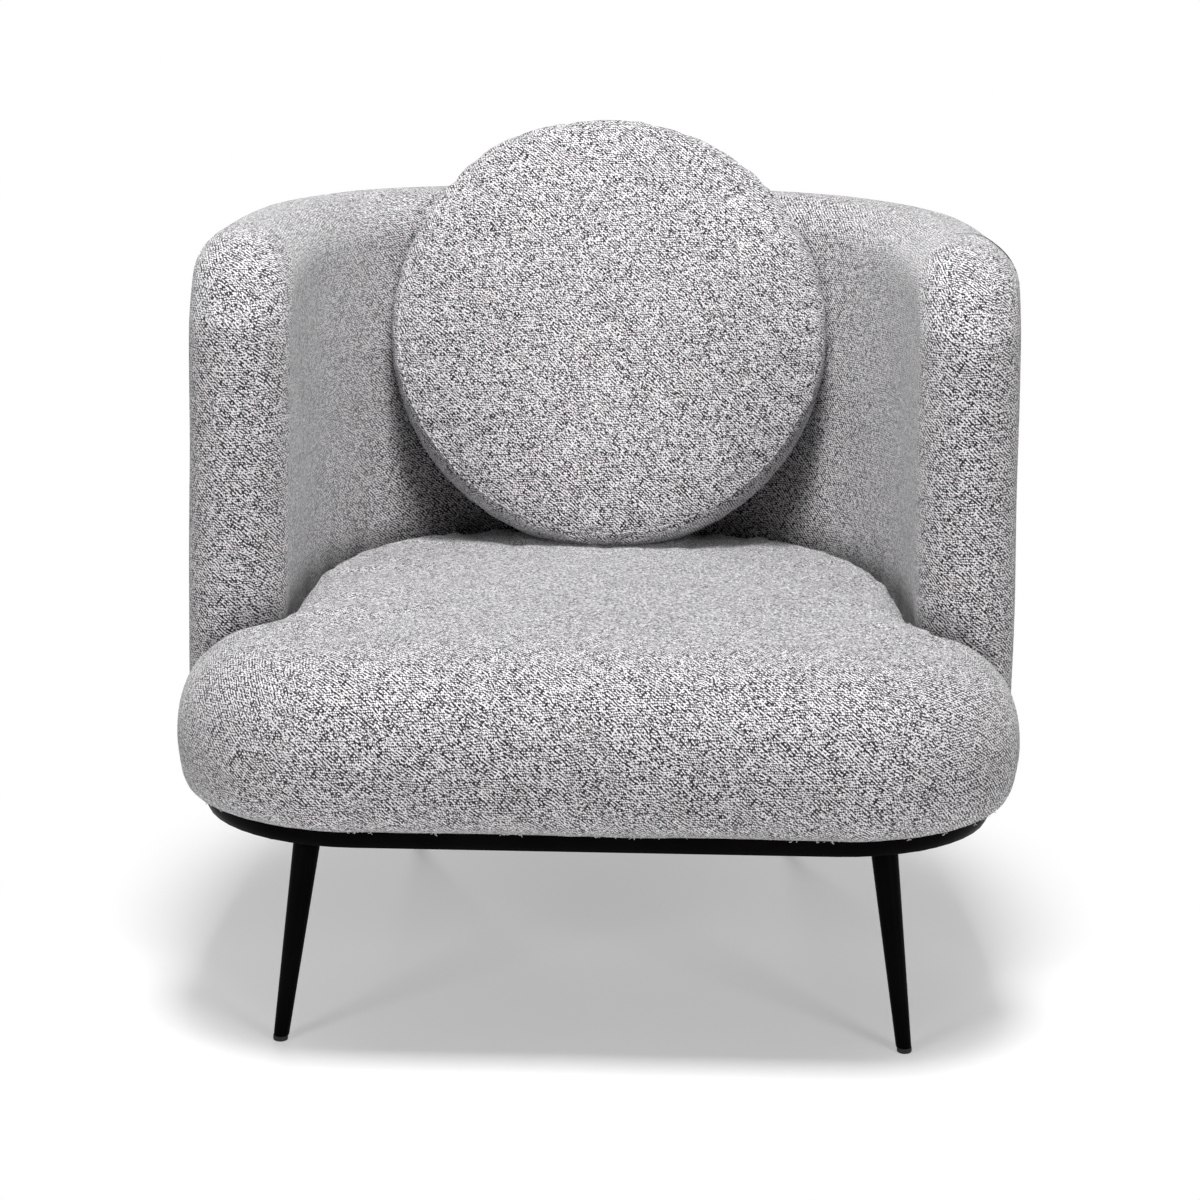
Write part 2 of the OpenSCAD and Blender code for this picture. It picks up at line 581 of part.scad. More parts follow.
// Tub frame, boards, foam and cover
bottom_rail_h = rail_h / 2;
top_rail_h = rail_t;
post_shares = [[0.05, 0.09], [0.15, 0.22], [0.28, 0.35], [0.53, 0.6], [0.8, 0.86]];
front_post_shares = [-1, -0.15];
module tub_bottom_rail() color("burlywood") difference() {
    frame_layer(base_top, base_top + bottom_rail_h, board_t + snug, core_t - board_t - snug);
    screw_holes(frame_screw_d + play);
}
module tub_top_rail() color("burlywood")
    frame_layer(core_top - top_rail_h, core_top - snug, board_t + snug, core_t - board_t - snug);
module post(u0, u1) {
    z0 = base_top + bottom_rail_h;
    z1 = core_top - top_rail_h;
    d0 = board_t + 3 * snug;
    d1 = core_t - board_t - 3 * snug;
    pts = [for (z = [z0, z1]) each at_z([core_on(z, d0, u0), core_on(z, d0, u1),
        core_on(z, d1, u1), core_on(z, d1, u0)], z)];
    polyhedron(pts, concat(skin(4, 2), [[0, 1, 2], [0, 2, 3], [4, 6, 5], [4, 7, 6]]));
}
module posts(places) for (sx = [0, 1]) mirror([sx, 0, 0]) for (q = places) post(q[0], q[1]);
module arm_front_posts() color("burlywood") posts([front_post_shares]);
module tub_posts() color("burlywood") posts(post_shares);
module tub_outer_board() color("peru")
    frame_layer(base_top, core_top - snug, snug, board_t);
module tub_inner_board() color("peru")
    frame_layer(base_top, core_top - snug, core_t - board_t, core_t - snug);
// The tub's foam is glued up from an arm at each side and a back
foam_cut_share = 0.11;
foam_cut_y = foam_cut_share * overall_d;
module tub_foam_from(x, y, size)
    intersection() {
        c_solid(concat([for (z = [core_top, base_top])
            core_loop(z, -2 * snug, core_t + 2 * snug, nose_steps, cloth_t)],
            tub_rings(cloth_t)), tub_tip, 1);
        translate([x, y, 0]) cube(size);
    }
module left_arm_foam() color("khaki")
    tub_foam_from(-overall_w, -overall_d, [overall_w, overall_d + foam_cut_y, 2 * rim_h]);
module right_arm_foam() color("khaki")
    tub_foam_from(0, -overall_d, [overall_w, overall_d + foam_cut_y, 2 * rim_h]);
module back_foam() color("khaki")
    tub_foam_from(-overall_w, foam_cut_y + snug, [2 * overall_w, overall_d, 2 * rim_h]);
module tub_cover() color("lightgray")
    c_solid(concat(reversed(tub_rings(cloth_t)), tub_rings(0)), tub_tip, len(tub_rings(0)) - 1);

// Round cushion, made about its own centre with Z to its front and then leaned back. Where it
// rests on the seat or meets the tub it is pressed flat.
cushion_r = cushion_d / 2;
seam_in = cushion_r / 40;
around = 40;
seat_rest = 2 * snug;
wall_rest = 6 * snug + seat_rest;
// Shares of the radius and of the crown along a face, and of the band's height and bulge
face_shares = [[0.3, 0.97], [0.58, 0.84], [0.8, 0.58], [0.93, 0.26], [1, 0]];
rear_shares = [[0.6, 1], [0.86, 0.6], [1, 0]];
band_shares = [[1, 0], [0.55, 0.78], [0, 1], [-0.55, 0.78], [-1, 0]];
function inside_y(x, z) = let (a = side_at(z) - wall_t, e = inside_end(z))
    e + (inside_back(z) - e) * pow(max(0, 1 - pow(min(1, abs(x) / a), inside_power(z))), 1 / inside_power(z));
function leaned(p) = [p.x, cushion_y + p.y * sin(lean) - p.z * cos(lean),
    cushion_z + p.y * cos(lean) + p.z * sin(lean)];
function pressed(p, d) = let (w = leaned(p), z = max(w.z, seat_top(w, 0) + seat_rest + d))
    [w.x, min(w.y, inside_y(w.x, z) - wall_rest - d), z];
function cushion_ring(r, z, d) = [for (k = [0:around - 1]) let (t = 360 * k / around)
    pressed([r * cos(t), r * sin(t), z], d)];
function face_rings(shares, h, crown, d) = [for (q = shares)
    cushion_ring((cushion_r - seam_in - d) * q[0], h - sign(h) * d * (1 - q[1] / 2) / 2
        + sign(h) * (crown * q[1] - d * q[1] / 2), d)];
function band_rings(d) = [for (q = band_shares)
    cushion_ring(cushion_r - seam_in - d + seam_in * q[1], (band_h / 2 - d / 2) * q[0], d)];
function face_peak(h, crown, d) = pressed([0, 0, h + sign(h) * (crown - d)], d);
front_shell = concat(face_rings(face_shares, band_h / 2, crown_front, cloth_t),
    reversed(face_rings(face_shares, band_h / 2, crown_front, 0)));
rear_shell = concat(face_rings(rear_shares, -band_h / 2, crown_rear, 0),
    reversed(face_rings(rear_shares, -band_h / 2, crown_rear, cloth_t)));
module cushion_front_panel() color("lightgray")
    capped(face_peak(band_h / 2, crown_front, cloth_t), front_shell, face_peak(band_h / 2, crown_front, 0),
        len(front_shell), len(face_shares) - 1);
module cushion_rear_panel() color("lightgray")
    capped(face_peak(-band_h / 2, crown_rear, 0), rear_shell, face_peak(-band_h / 2, crown_rear, cloth_t),
        len(rear_shell), len(rear_shares) - 1);
module cushion_band() color("gray")
    ring_solid(concat(reversed(band_rings(0)), band_rings(cloth_t)));
module cushion_filling() color("white")
    capped(face_peak(-band_h / 2, crown_rear, cloth_t),
        concat(face_rings(rear_shares, -band_h / 2, crown_rear, cloth_t),
            [for (k = [3, 2, 1]) band_rings(cloth_t)[k]],
            reversed(face_rings(face_shares, band_h / 2, crown_front, cloth_t))),
        face_peak(band_h / 2, crown_front, cloth_t));

// Zip across the flat of the rear panel, closed at rest with its slider at the left end
zip_w = 24;
zip_tape_t = 0.8;
zip_teeth_w = 5;
zip_teeth_t = 1.4;
slider_l = 10;
slider_w = 8;
slider_top_t = 1.1;
pull_l = 22;
pull_w = 5;
zip_drop_share = 0.24;
zip_y = -zip_drop_share * cushion_r;
module on_rear() translate([0, cushion_y, cushion_z]) rotate([90 - lean, 0, 0])
    translate([0, zip_y, -band_h / 2 - crown_rear]) rotate([180, 0, 0]) children();
module cushion_zip() color("dimgray") on_rear() {
    translate([-zip_len / 2, -zip_w / 2, 0]) cube([zip_len, zip_w, zip_tape_t]);
    translate([-zip_len / 2 + slider_l / 2, -zip_teeth_w / 2, zip_tape_t / 2])
        cube([zip_len - slider_l, zip_teeth_w, zip_tape_t / 2 + zip_teeth_t]);
}
module zip_slider() color("silver") on_rear()
    translate([-zip_len / 2 + slider_l / 2, 0, zip_tape_t + play]) {
        difference() {
            translate([0, -slider_w / 2, 0]) cube([slider_l, slider_w, zip_teeth_t + play + slider_top_t]);
            translate([-over, -zip_teeth_w / 2 - play, -over])
                cube([slider_l + 2 * over, zip_teeth_w + 2 * play, zip_teeth_t + play + over]);
        }
        translate([slider_l / 2 - pull_w / 2, 0, zip_teeth_t + play + slider_top_t])
            cube([pull_w, pull_l, slider_top_t]);
    }

front_left_leg();
front_right_leg();
rear_left_leg();
rear_right_leg();
leg_plates();
leg_screws();
foot_glides();
base_panel();
base_inserts();
frame_screws();
seat_front_rail();
seat_rear_rail();
seat_side_rails();
seat_corner_blocks();
seat_straps_lengthwise();
seat_straps_crosswise();
seat_foam();
seat_cover();
tub_bottom_rail();
tub_top_rail();
arm_front_posts();
tub_posts();
tub_outer_board();
tub_inner_board();
left_arm_foam();
right_arm_foam();
back_foam();
tub_cover();
cushion_front_panel();
cushion_band();
cushion_rear_panel();
cushion_filling();
cushion_zip();
zip_slider();
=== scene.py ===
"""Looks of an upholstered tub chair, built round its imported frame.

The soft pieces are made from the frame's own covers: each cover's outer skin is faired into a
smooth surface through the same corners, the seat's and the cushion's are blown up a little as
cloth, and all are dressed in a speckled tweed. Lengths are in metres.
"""

import sys
import logging
import math
import random
from dataclasses import dataclass, field
from enum import Enum
from typing import Any, Callable, Iterable, Sequence

import bmesh
import bpy
import numpy as np
from bmesh.types import BMEdge, BMesh, BMFace, BMVert
from bpy.types import Material, Mesh, Node, NodeSocket, Object, World
from mathutils import Matrix, Vector, noise
from mathutils.bvhtree import BVHTree
from mathutils.kdtree import KDTree


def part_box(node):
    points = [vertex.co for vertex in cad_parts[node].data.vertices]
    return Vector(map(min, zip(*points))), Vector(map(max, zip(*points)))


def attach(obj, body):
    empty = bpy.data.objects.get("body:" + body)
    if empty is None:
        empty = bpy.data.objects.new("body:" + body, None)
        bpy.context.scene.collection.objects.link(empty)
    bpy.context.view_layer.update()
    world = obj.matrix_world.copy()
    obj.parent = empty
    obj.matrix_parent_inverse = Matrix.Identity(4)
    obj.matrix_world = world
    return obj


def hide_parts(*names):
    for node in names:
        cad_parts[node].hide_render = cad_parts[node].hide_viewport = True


LOG = logging.getLogger("tub_chair")
MM = 0.001
CHAIR, CUSHION, SLIDER = "chair", "back_cushion", "zip_slider"
LEGS = ("front_left_leg", "front_right_leg", "rear_left_leg", "rear_right_leg")
CREASE_SHADE = "crease_shade"  # point attribute of painted crease shade: 1 against a neighbour, 0 clear of it
WHITE = (1.0, 1.0, 1.0, 1.0)

Colour = tuple[float, float, float]


class Weave(Enum):
    """How a flat textile is woven: how much wider its ribs are across than along."""

    TAPE = 1
    WEBBING = 2


# ---------------------------------------------------------------- finishes


def operator(name: str, flipped: bool = False) -> Callable[["Wire", Any], "Wire"]:
    """Returns a method that adds a Math node for a wire and another number."""
    return lambda a, b: a.graph.math(name, *((b, a) if flipped else (a, b)))


class Wire:
    """What a node gives, with which sums can be written as usual."""

    def __init__(self, graph: "Graph", socket: NodeSocket) -> None:
        """Takes a node's output and the graph that it is in."""
        self.graph, self.socket = graph, socket

    __add__, __mul__, __truediv__ = operator("ADD"), operator("MULTIPLY"), operator("DIVIDE")
    __sub__, __rsub__ = operator("SUBTRACT"), operator("SUBTRACT", True)
    __mod__ = operator("FLOORED_MODULO")

    def line(self, slope: float, start: float) -> "Wire":
        """Returns a start and this number times a slope."""
        return self.graph.math("MULTIPLY_ADD", self, slope, start)

    def parts(self) -> list["Wire"]:
        """Returns a vector's x, y and z."""
        node = self.graph.add("ShaderNodeSeparateXYZ", {0: self})
        return [Wire(self.graph, socket) for socket in node.outputs]


class Graph:
    """A node tree, with short ways to add nodes and join them."""

    def __init__(self, owner: Material | World) -> None:
        """Empties the node tree of a material or world.

        Args:
            owner: The material or world.
        """
        owner.use_nodes = True
        self.owner, self.tree = owner, owner.node_tree
        self.tree.nodes.clear()

    def add(self, kind: str, inputs: dict[Any, Any] | None = None, **settings: Any) -> Node:
        """Adds a node.

        Args:
            kind: The node's type.
            inputs: Values or wires for its inputs, by name or index.
            settings: The node's own settings.

        Returns:
            The new node.
        """
        node = self.tree.nodes.new(kind)
        for key, value in settings.items():
            setattr(node, key, value)
        for key, value in (inputs or {}).items():
            if isinstance(value, Wire):
                self.tree.links.new(value.socket, node.inputs[key])
            else:
                node.inputs[key].default_value = value
        return node

    def wire(self, kind: str, inputs: dict[Any, Any] | None = None, output: int | str = 0,
             **settings: Any) -> Wire:
        """Adds a node, and returns what its first or another output gives."""
        return Wire(self, self.add(kind, inputs, **settings).outputs[output])

    def math(self, operation: str, a: Any, b: Any = 0.0, c: Any = 0.0) -> Wire:
        """Adds one sum of up to three numbers or wires."""
        return self.wire("ShaderNodeMath", {0: a, 1: b, 2: c}, operation=operation)

    def point(self) -> Wire:
        """Returns the place on the object."""
        return self.wire("ShaderNodeTexCoord", output="Object")

    def speckle(self, vector: Wire, scale: float, detail: float = 2.0, rough: float = 0.5) -> Wire:
        """Adds a noise from 0 to 1, of so many lumps to a metre, with finer octaves."""
        return self.wire("ShaderNodeTexNoise", {"Vector": vector, "Scale": scale,
                                                "Detail": detail, "Roughness": rough}, "Fac")

    def ramp(self, value: Wire, stops: Sequence[tuple[float, Colour]]) -> Wire:
        """Adds a colour ramp.

        Args:
            value: The number to colour.
            stops: Places and colours along the ramp.

        Returns:
            The colour.
        """
        node = self.add("ShaderNodeValToRGB", {0: value})
        elements = node.color_ramp.elements
        while len(elements) < len(stops):
            elements.new(0.5)
        for element, (place, colour) in zip(elements, stops):
            element.position, element.color = place, (*colour, 1.0)
        return Wire(self, node.outputs[0])

    def surface(self, height: Wire, depth: float, strength: float, **sockets: Any) -> Material:
        """Ends the material in one surface shader with a relief.

        Args:
            height: The relief, from 0 to 1.
            depth: What 1 stands for, in metres.
            strength: How much of it shows.
            sockets: Values or wires by the shader's own input names, with _ for a space.

        Returns:
            The finished material.
        """
        inputs = {key.replace("_", " "): value for key, value in sockets.items()}
        inputs["Normal"] = self.wire("ShaderNodeBump", {"Height": height, "Distance": depth,
                                                        "Strength": strength})
        shader = self.wire("ShaderNodeBsdfPrincipled", inputs)
        self.add("ShaderNodeOutputMaterial", {0: shader})
        return self.owner


@dataclass(frozen=True)
class TweedFinish:
    """Salt-and-pepper tweed: rows of dark and pale yarn beads on a slanting grain.

    How pale a bead is comes from chance, from whether its row is odd, and from a checker. Its
    colour also carries a painted highlight on the beads' tops, painted shade between them, and
    painted shade in creases near a neighbouring cover.
    """

    name: str = "speckled_tweed"  # the material's name
    sides: int = 8  # from how many sides the grain is laid on the surface
    row: float = 1.4 * MM  # width of one row of beads
    bead: float = 1.75 * MM  # length of one bead
    slant: float = math.radians(40)  # angle at which the rows fall to the right
    drift: float = 0.12  # how far each row starts after the last one, in beads
    sway: float = 5.0  # how far rows wander slowly, in rows
    jolt: float = 1.5  # how far they wander from bead to bead, in rows
    chance: float = 0.46  # weight of chance in a bead's paleness
    odd: float = 0.29  # weight of the odd rows
    checker: float = 0.25  # weight of the checker
    hair: float = 0.4  # how far loose hairs change the paleness
    clump: float = 0.08  # how far patches of several beads change it
    balance: float = 0.435  # paleness at which the yarn turns from dark to pale
    # steps of paleness from there, and the yarn's colour at each
    yarn: tuple[tuple[float, Colour], ...] = (
        (-0.08, (0.02, 0.019, 0.02)), (0.0, (0.12, 0.115, 0.12)), (0.05, (0.42, 0.41, 0.425)),
        (0.14, (0.78, 0.77, 0.785)), (0.285, (0.93, 0.915, 0.935)))
    gap_shade: float = 0.64  # painted shade: brightness of the colour in the gaps between the beads
    dome: float = 0.6  # painted highlight: how much brighter the colour is on the beads' tops
    crease_shade_strength: float = 0.85  # painted shade: how much darker the colour is in creases near a neighbouring cover
    depth: float = 0.6 * MM  # how far the beads stand up

    def laid(self, g: Graph, point: Wire) -> tuple[Wire, Wire, Wire]:
        """Lays the cloth on the surface in flat sheets, by the way that it faces.

        Args:
            g: The material's graph.
            point: The place on the object.

        Returns:
            The place across and up the sheet, and a number of the sheet's own.
        """
        x, y, z = point.parts()
        out_x, out_y, out_z = g.wire("ShaderNodeNewGeometry", output="Normal").parts()
        stray = (g.speckle(point, 260, 1) - 0.5) * 0.9
        step = math.tau / self.sides
        turn = g.math("SNAP", g.math("ARCTAN2", out_y, out_x) + stray + step / 2, step)
        tilt = g.math("SNAP", g.math("ARCSINE", out_z) + stray + step / 2, step)
        level = g.math("GREATER_THAN", g.math("ABSOLUTE", tilt), 1.2)  # straight up or down
        turn = turn * (1.0 - level) - level * (math.pi / 2)
        sin, cos = g.math("SINE", turn), g.math("COSINE", turn)
        out = x * cos + y * sin
        up = z * g.math("COSINE", tilt) - out * g.math("SINE", tilt)
        return y * cos - x * sin, up, (turn + tilt * 3.0) * 0.37

    def build(self) -> Material:
        """Builds the cloth.

        Returns:
            The material.
        """
        g = Graph(bpy.data.materials.new(self.name))
        point = g.point()
        u, v, sheet = self.laid(g, point)
        flat = g.wire("ShaderNodeCombineXYZ", {0: u, 1: v, 2: sheet})
        cos, sin = math.cos(self.slant), math.sin(self.slant)
        jolt = g.speckle(flat, 420, 1) * self.jolt
        lane = (u * sin + v * cos) / self.row + g.speckle(flat, 45, 2) * self.sway + jolt
        row = g.math("FLOOR", lane)
        run = (u * cos - v * sin) / self.bead + row * self.drift + jolt
        bead = g.math("FLOOR", run)
        chance = g.wire("ShaderNodeTexWhiteNoise", {
            "Vector": g.wire("ShaderNodeCombineXYZ", {0: bead, 1: row, 2: sheet})}, "Value",
            noise_dimensions="3D")
        pale = chance * self.chance + row % 2.0 * self.odd + (row + bead) % 2.0 * self.checker
        across, along = (g.math("SINE", g.math("FRACT", at) * math.pi) for at in (lane, run))
        dome = across * along
        hairs = g.speckle(flat, 1500, 2, 0.7) - 0.5
        clumps = g.speckle(flat, 170, 2) - 0.5
        colour = g.ramp(pale + hairs * self.hair + clumps * self.clump,
                        [(self.balance + step, tone) for step, tone in self.yarn])
        # painted shade: the colour darkens in creases where a neighbouring cover lies close
        crease_shade = g.wire("ShaderNodeAttribute", output="Fac", attribute_name=CREASE_SHADE)
        # painted highlight on the beads' tops and painted shade between them, times the painted
        # crease shade
        light = dome.line(self.dome, self.gap_shade) * crease_shade.line(-self.crease_shade_strength, 1.0)
        light = g.speckle(point, 9, 3).line(0.14, 0.93) * light
        grey = g.wire("ShaderNodeCombineColor", {0: light, 1: light, 2: light})
        shaded = g.wire("ShaderNodeMix", {0: 1.0, 6: colour, 7: grey}, 2, data_type="RGBA",
                        blend_type="MULTIPLY")
        height = dome * 0.6 + pale * 0.3 + hairs
        return g.surface(height, self.depth, 0.7, Base_Color=shaded, Roughness=0.94,
                         Sheen_Weight=0.35, Sheen_Roughness=0.5, Specular_IOR_Level=0.12)


@dataclass(frozen=True)
class Finish:
    """A procedural material of one main colour."""

    name: str  # the material's name
    colour: Colour  # its main colour

    def start(self) -> tuple[Graph, Wire]:
        """Returns the graph of the new material, and the place on the object in it."""
        g = Graph(bpy.data.materials.new(self.name))
        return g, g.point()

    def tone(self, share: float, more: float = 0.0) -> Colour:
        """Returns a deeper or paler tone of the main colour."""
        return tuple(min(1.0, share * part + more) for part in self.colour)


@dataclass(frozen=True)
class ThreadFinish(Finish):
    """Spun yarn or sewing thread, a little uneven along its length."""

    def build(self) -> Material:
        """Builds the thread.

        Returns:
            The material.
        """
        g, point = self.start()
        fuzz = g.speckle(point, 2500, 3)
        colour = g.ramp(fuzz, ((0.35, self.tone(0.6)), (0.6, self.colour)))
        return g.surface(fuzz, 0.15 * MM, 0.6, Base_Color=colour, Roughness=0.9,
                         Sheen_Weight=0.3)


@dataclass(frozen=True)
class PaintFinish(Finish):
    """Satin lacquer, powder coat or moulded plastic with a faint orange-peel skin."""

    rough: float
    specular: float
    grain: float = 700.0

    def build(self) -> Material:
        """Builds the paint.

        Returns:
            The material.
        """
        g, point = self.start()
        peel, worn = g.speckle(point, self.grain, 2), g.speckle(point, 14, 4)
        colour = g.ramp(worn, ((0.3, self.colour), (0.8, self.tone(1.8, 0.001))))
        return g.surface(peel, 0.06 * MM, 0.4, Base_Color=colour,
                         Roughness=worn.line(0.12, self.rough - 0.06),
                         Specular_IOR_Level=self.specular)


@dataclass(frozen=True)
class MetalFinish(Finish):
    """Plated metal, brushed by handling."""

    rough: float = 0.32

    def build(self) -> Material:
        """Builds the metal.

        Returns:
            The material.
        """
        g, point = self.start()
        scratch = g.speckle(point, 900, 3)
        colour = g.ramp(g.speckle(point, 60, 3), ((0.3, self.tone(0.6)), (0.7, self.colour)))
        return g.surface(scratch, 0.04 * MM, 0.4, Base_Color=colour, Metallic=1.0,
                         Roughness=scratch.line(0.2, self.rough - 0.1))


@dataclass(frozen=True)
class WoodFinish(Finish):
    """Sawn or peeled timber with growth rings along one axis and fine pores."""

    deep: Colour
    rings: float = 90.0

    def build(self) -> Material:
        """Builds the timber.

        Returns:
            The material.
        """
        g, point = self.start()
        swirl, pores = (g.speckle(g.wire("ShaderNodeMapping", {"Vector": point, "Scale": scale}),
                                  lumps, detail)
                        for scale, lumps, detail in (((1, 7, 7), 6, 4), ((1, 18, 18), 90, 3)))
        ring = g.math("SINE", swirl * 40 + point.parts()[2] * self.rings)
        colour = g.ramp(ring.line(0.22, 0.5) + pores * 0.35,
                        ((0.3, self.deep), (0.85, self.colour)))
        return g.surface(pores, 0.25 * MM, 0.5, Base_Color=colour, Roughness=0.62)


@dataclass(frozen=True)
class FoamFinish(Finish):
    """Open-cell cushion foam or quilted filling, with fine pores."""

    pore: float = 900.0

    def build(self) -> Material:
        """Builds the foam.

        Returns:
            The material.
        """
        g, point = self.start()
        cells = g.wire("ShaderNodeTexVoronoi", {"Vector": point, "Scale": self.pore}, "Distance")
        colour = g.ramp(cells, ((0.1, self.tone(0.72)), (0.6, self.colour)))
        return g.surface(cells, 0.5 * MM, 0.8, Base_Color=colour, Roughness=0.95,
                         Sheen_Weight=0.1)


@dataclass(frozen=True)
class BandFinish(Finish):
    """Flat woven strap or zip tape, ribbed both ways."""

    stripe: Colour
    weave: Weave
    rib: float

    def build(self) -> Material:
        """Builds the weave.

        Returns:
            The material.
        """
        g, point = self.start()
        x, y, z = point.parts()
        rate = math.tau / self.rib
        warp = g.math("SINE", x * rate)
        weft = g.math("SINE", (y + z) * (rate / self.weave.value))
        over = (warp * weft).line(0.5, 0.5)
        colour = g.ramp(over + g.speckle(point, 500, 3) * 0.3,
                        ((0.25, self.stripe), (0.75, self.colour)))
        return g.surface(over, 0.35 * MM, 0.6, Base_Color=colour, Roughness=0.85,
                         Sheen_Weight=0.1)


# ---------------------------------------------------------------- mesh helpers


def evaluated(obj: Object) -> Mesh:
    """Works out an object's mesh with its modifiers on.

    Args:
        obj: The object.

    Returns:
        A new mesh.
    """
    graph = bpy.context.evaluated_depsgraph_get()
    obj.update_tag()
    graph.update()
    return bpy.data.meshes.new_from_object(obj.evaluated_get(graph))


def settle(obj: Object) -> None:
    """Applies an object's modifiers to its mesh.

    Args:
        obj: The object.
    """
    mesh = evaluated(obj)
    obj.modifiers.clear()
    obj.data = mesh


def subdivide(obj: Object, name: str, levels: int = 1) -> None:
    """Adds a subdivision modifier of so many levels."""
    sub = obj.modifiers.new(name, "SUBSURF")
    sub.levels = sub.render_levels = levels


def net(obj: Object, size: float) -> None:
    """Lays an even net of faces over an object.

    Args:
        obj: The object.
        size: The net's width.
    """
    grid = obj.modifiers.new("Net", "REMESH")
    grid.mode, grid.voxel_size = "VOXEL", size
    settle(obj)


def rows(items: Any, name: str) -> np.ndarray:
    """Reads a vector that each of a mesh's items has.

    Args:
        items: The vertices, or the normals.
        name: What the vector is called there.

    Returns:
        A row for each item.
    """
    flat = np.zeros(len(items) * 3, np.float32)
    items.foreach_get(name, flat)
    return flat.reshape(-1, 3).astype(float)


def corners(mesh: Mesh) -> np.ndarray:
    """Returns the places of a mesh's vertices, a row each."""
    return rows(mesh.vertices, "co")


def directions(mesh: Mesh) -> np.ndarray:
    """Returns the normals of a mesh's vertices, a row each."""
    return rows(mesh.vertex_normals, "vector")


def put(mesh: Mesh, places: np.ndarray) -> None:
    """Moves a mesh's vertices to new places, a row each."""
    mesh.vertices.foreach_set("co", places.astype(np.float32).ravel())
    mesh.update()


def smoothed(mesh: Mesh, places: np.ndarray, rounds: int) -> np.ndarray:
    """Evens out places over a mesh's edges.

    Args:
        mesh: The mesh whose edges say what lies beside what.
        places: A row for each vertex.
        rounds: How often each is drawn half way to its neighbours' mean.

    Returns:
        The new places.
    """
    pairs = np.zeros(len(mesh.edges) * 2, np.int32)
    mesh.edges.foreach_get("vertices", pairs)
    a, b = pairs.reshape(-1, 2).T
    count = np.bincount(pairs, minlength=len(places)).clip(1)[:, None]
    result = places.copy()
    for _ in range(rounds):
        total = np.stack([np.bincount(a, column[b], len(places))
                          + np.bincount(b, column[a], len(places)) for column in result.T], 1)
        result = 0.5 * result + 0.5 * total / count
    return result


def meshed(name: str, bm: BMesh) -> Mesh:
    """Makes a mesh of a bmesh, and frees that.

    Args:
        name: The mesh's name.
        bm: The bmesh.

    Returns:
        The mesh.
    """
    mesh = bpy.data.meshes.new(name)
    bm.to_mesh(mesh)
    bm.free()
    return mesh


def added(name: str, data: Any, matrix: Matrix | None = None) -> Object:
    """Puts something in the scene.

    Args:
        name: The new object's name.
        data: Its mesh, lamp or camera; a bmesh is made a mesh.
        matrix: Its transform.

    Returns:
        The object.
    """
    if isinstance(data, BMesh):
        data = meshed(name, data)
    obj = bpy.data.objects.new(name, data)
    obj.matrix_world = matrix or Matrix()
    bpy.context.scene.collection.objects.link(obj)
    return obj


def cad_copy(*nodes: str) -> BMesh:
    """Copies CAD nodes, with their loose triangles joined.

    Args:
        nodes: The nodes' names.

    Returns:
        One bmesh of them all.
    """
    bm = bmesh.new()
    for node in nodes:
        bm.from_mesh(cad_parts[node].data)
    bmesh.ops.remove_doubles(bm, verts=bm.verts, dist=0.02 * MM)
    return bm


def cad_tree(*nodes: str) -> BVHTree:
    """Makes a search tree over the faces of CAD nodes.

    Args:
        nodes: The nodes' names.

    Returns:
        The tree.
    """
    bm = cad_copy(*nodes)
    tree = BVHTree.FromBMesh(bm)
    bm.free()
    return tree


def point_tree(places: Sequence[Vector]) -> KDTree:
    """Makes a search tree over places.

    Args:
        places: The places.

    Returns:
        The tree.
    """
    tree = KDTree(len(places))
    for k, place in enumerate(places):
        tree.insert(place, k)
    tree.balance()
    return tree


def lumpy(place: Vector) -> float:
    """Returns a soft noise about 0."""
    return noise.fractal(place, 1.0, 2.0, 3)


def shade(obj: Object, angle: float = math.pi) -> None:
    """Shades an object smooth.

    Args:
        obj: The object.
        angle: The angle past which an edge stays sharp.
    """
    bm = bmesh.new()
    bm.from_mesh(obj.data)
    for face in bm.faces:
        face.smooth = True
    for edge in bm.edges:
        edge.smooth = len(edge.link_faces) != 2 or edge.calc_face_angle(0.0) < angle
    bm.to_mesh(obj.data)
    bm.free()


def dress(obj: Object, finish: Material, body: str, slot: str, *nodes: str) -> None:
    """Gives a finished piece its material, its body and the nodes that it stands for.

    Args:
        obj: The piece.
        finish: Its material.
        body: The body that it rides on.
        slot: A material slot's name; not used.
        nodes: The CAD nodes that it replaces.
    """
    obj.data.materials.clear()
    obj.data.materials.append(finish)
    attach(obj, body)
    if nodes:
        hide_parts(*nodes)
    LOG.info("%s: %d faces on %s", obj.name, len(obj.data.polygons), body)


def thread_shape(radius: float, length: float, bend: float, steps: int = 3) -> Mesh:
    """Makes one short bent thread, rising from the origin along z.

    Args:
        radius: Half its thickness.
        length: Its length.
        bend: The angle that it turns through.
        steps: How many straight runs it has.

    Returns:
        Its mesh, of a dozen faces.
    """
    bm = bmesh.new()
    bmesh.ops.create_circle(bm, cap_ends=True, segments=4, radius=radius)
    bm.faces.ensure_lookup_table()
    tip = bm.faces[0]
    for k in range(steps):
        made = bmesh.ops.extrude_face_region(bm, geom=[tip])["geom"]
        tip = next(g for g in made if isinstance(g, BMFace))
        way = Matrix.Rotation(bend * (k + 0.5) / steps, 3, "X") @ Vector((0, 0, length / steps))
        bmesh.ops.translate(bm, verts=tip.verts, vec=way)
        bmesh.ops.rotate(bm, verts=tip.verts, cent=tip.calc_center_median(),
                         matrix=Matrix.Rotation(bend / steps, 3, "X"))
    bmesh.ops.recalc_face_normals(bm, faces=bm.faces)
    for face in bm.faces:
        face.smooth = True
    return meshed("thread", bm)


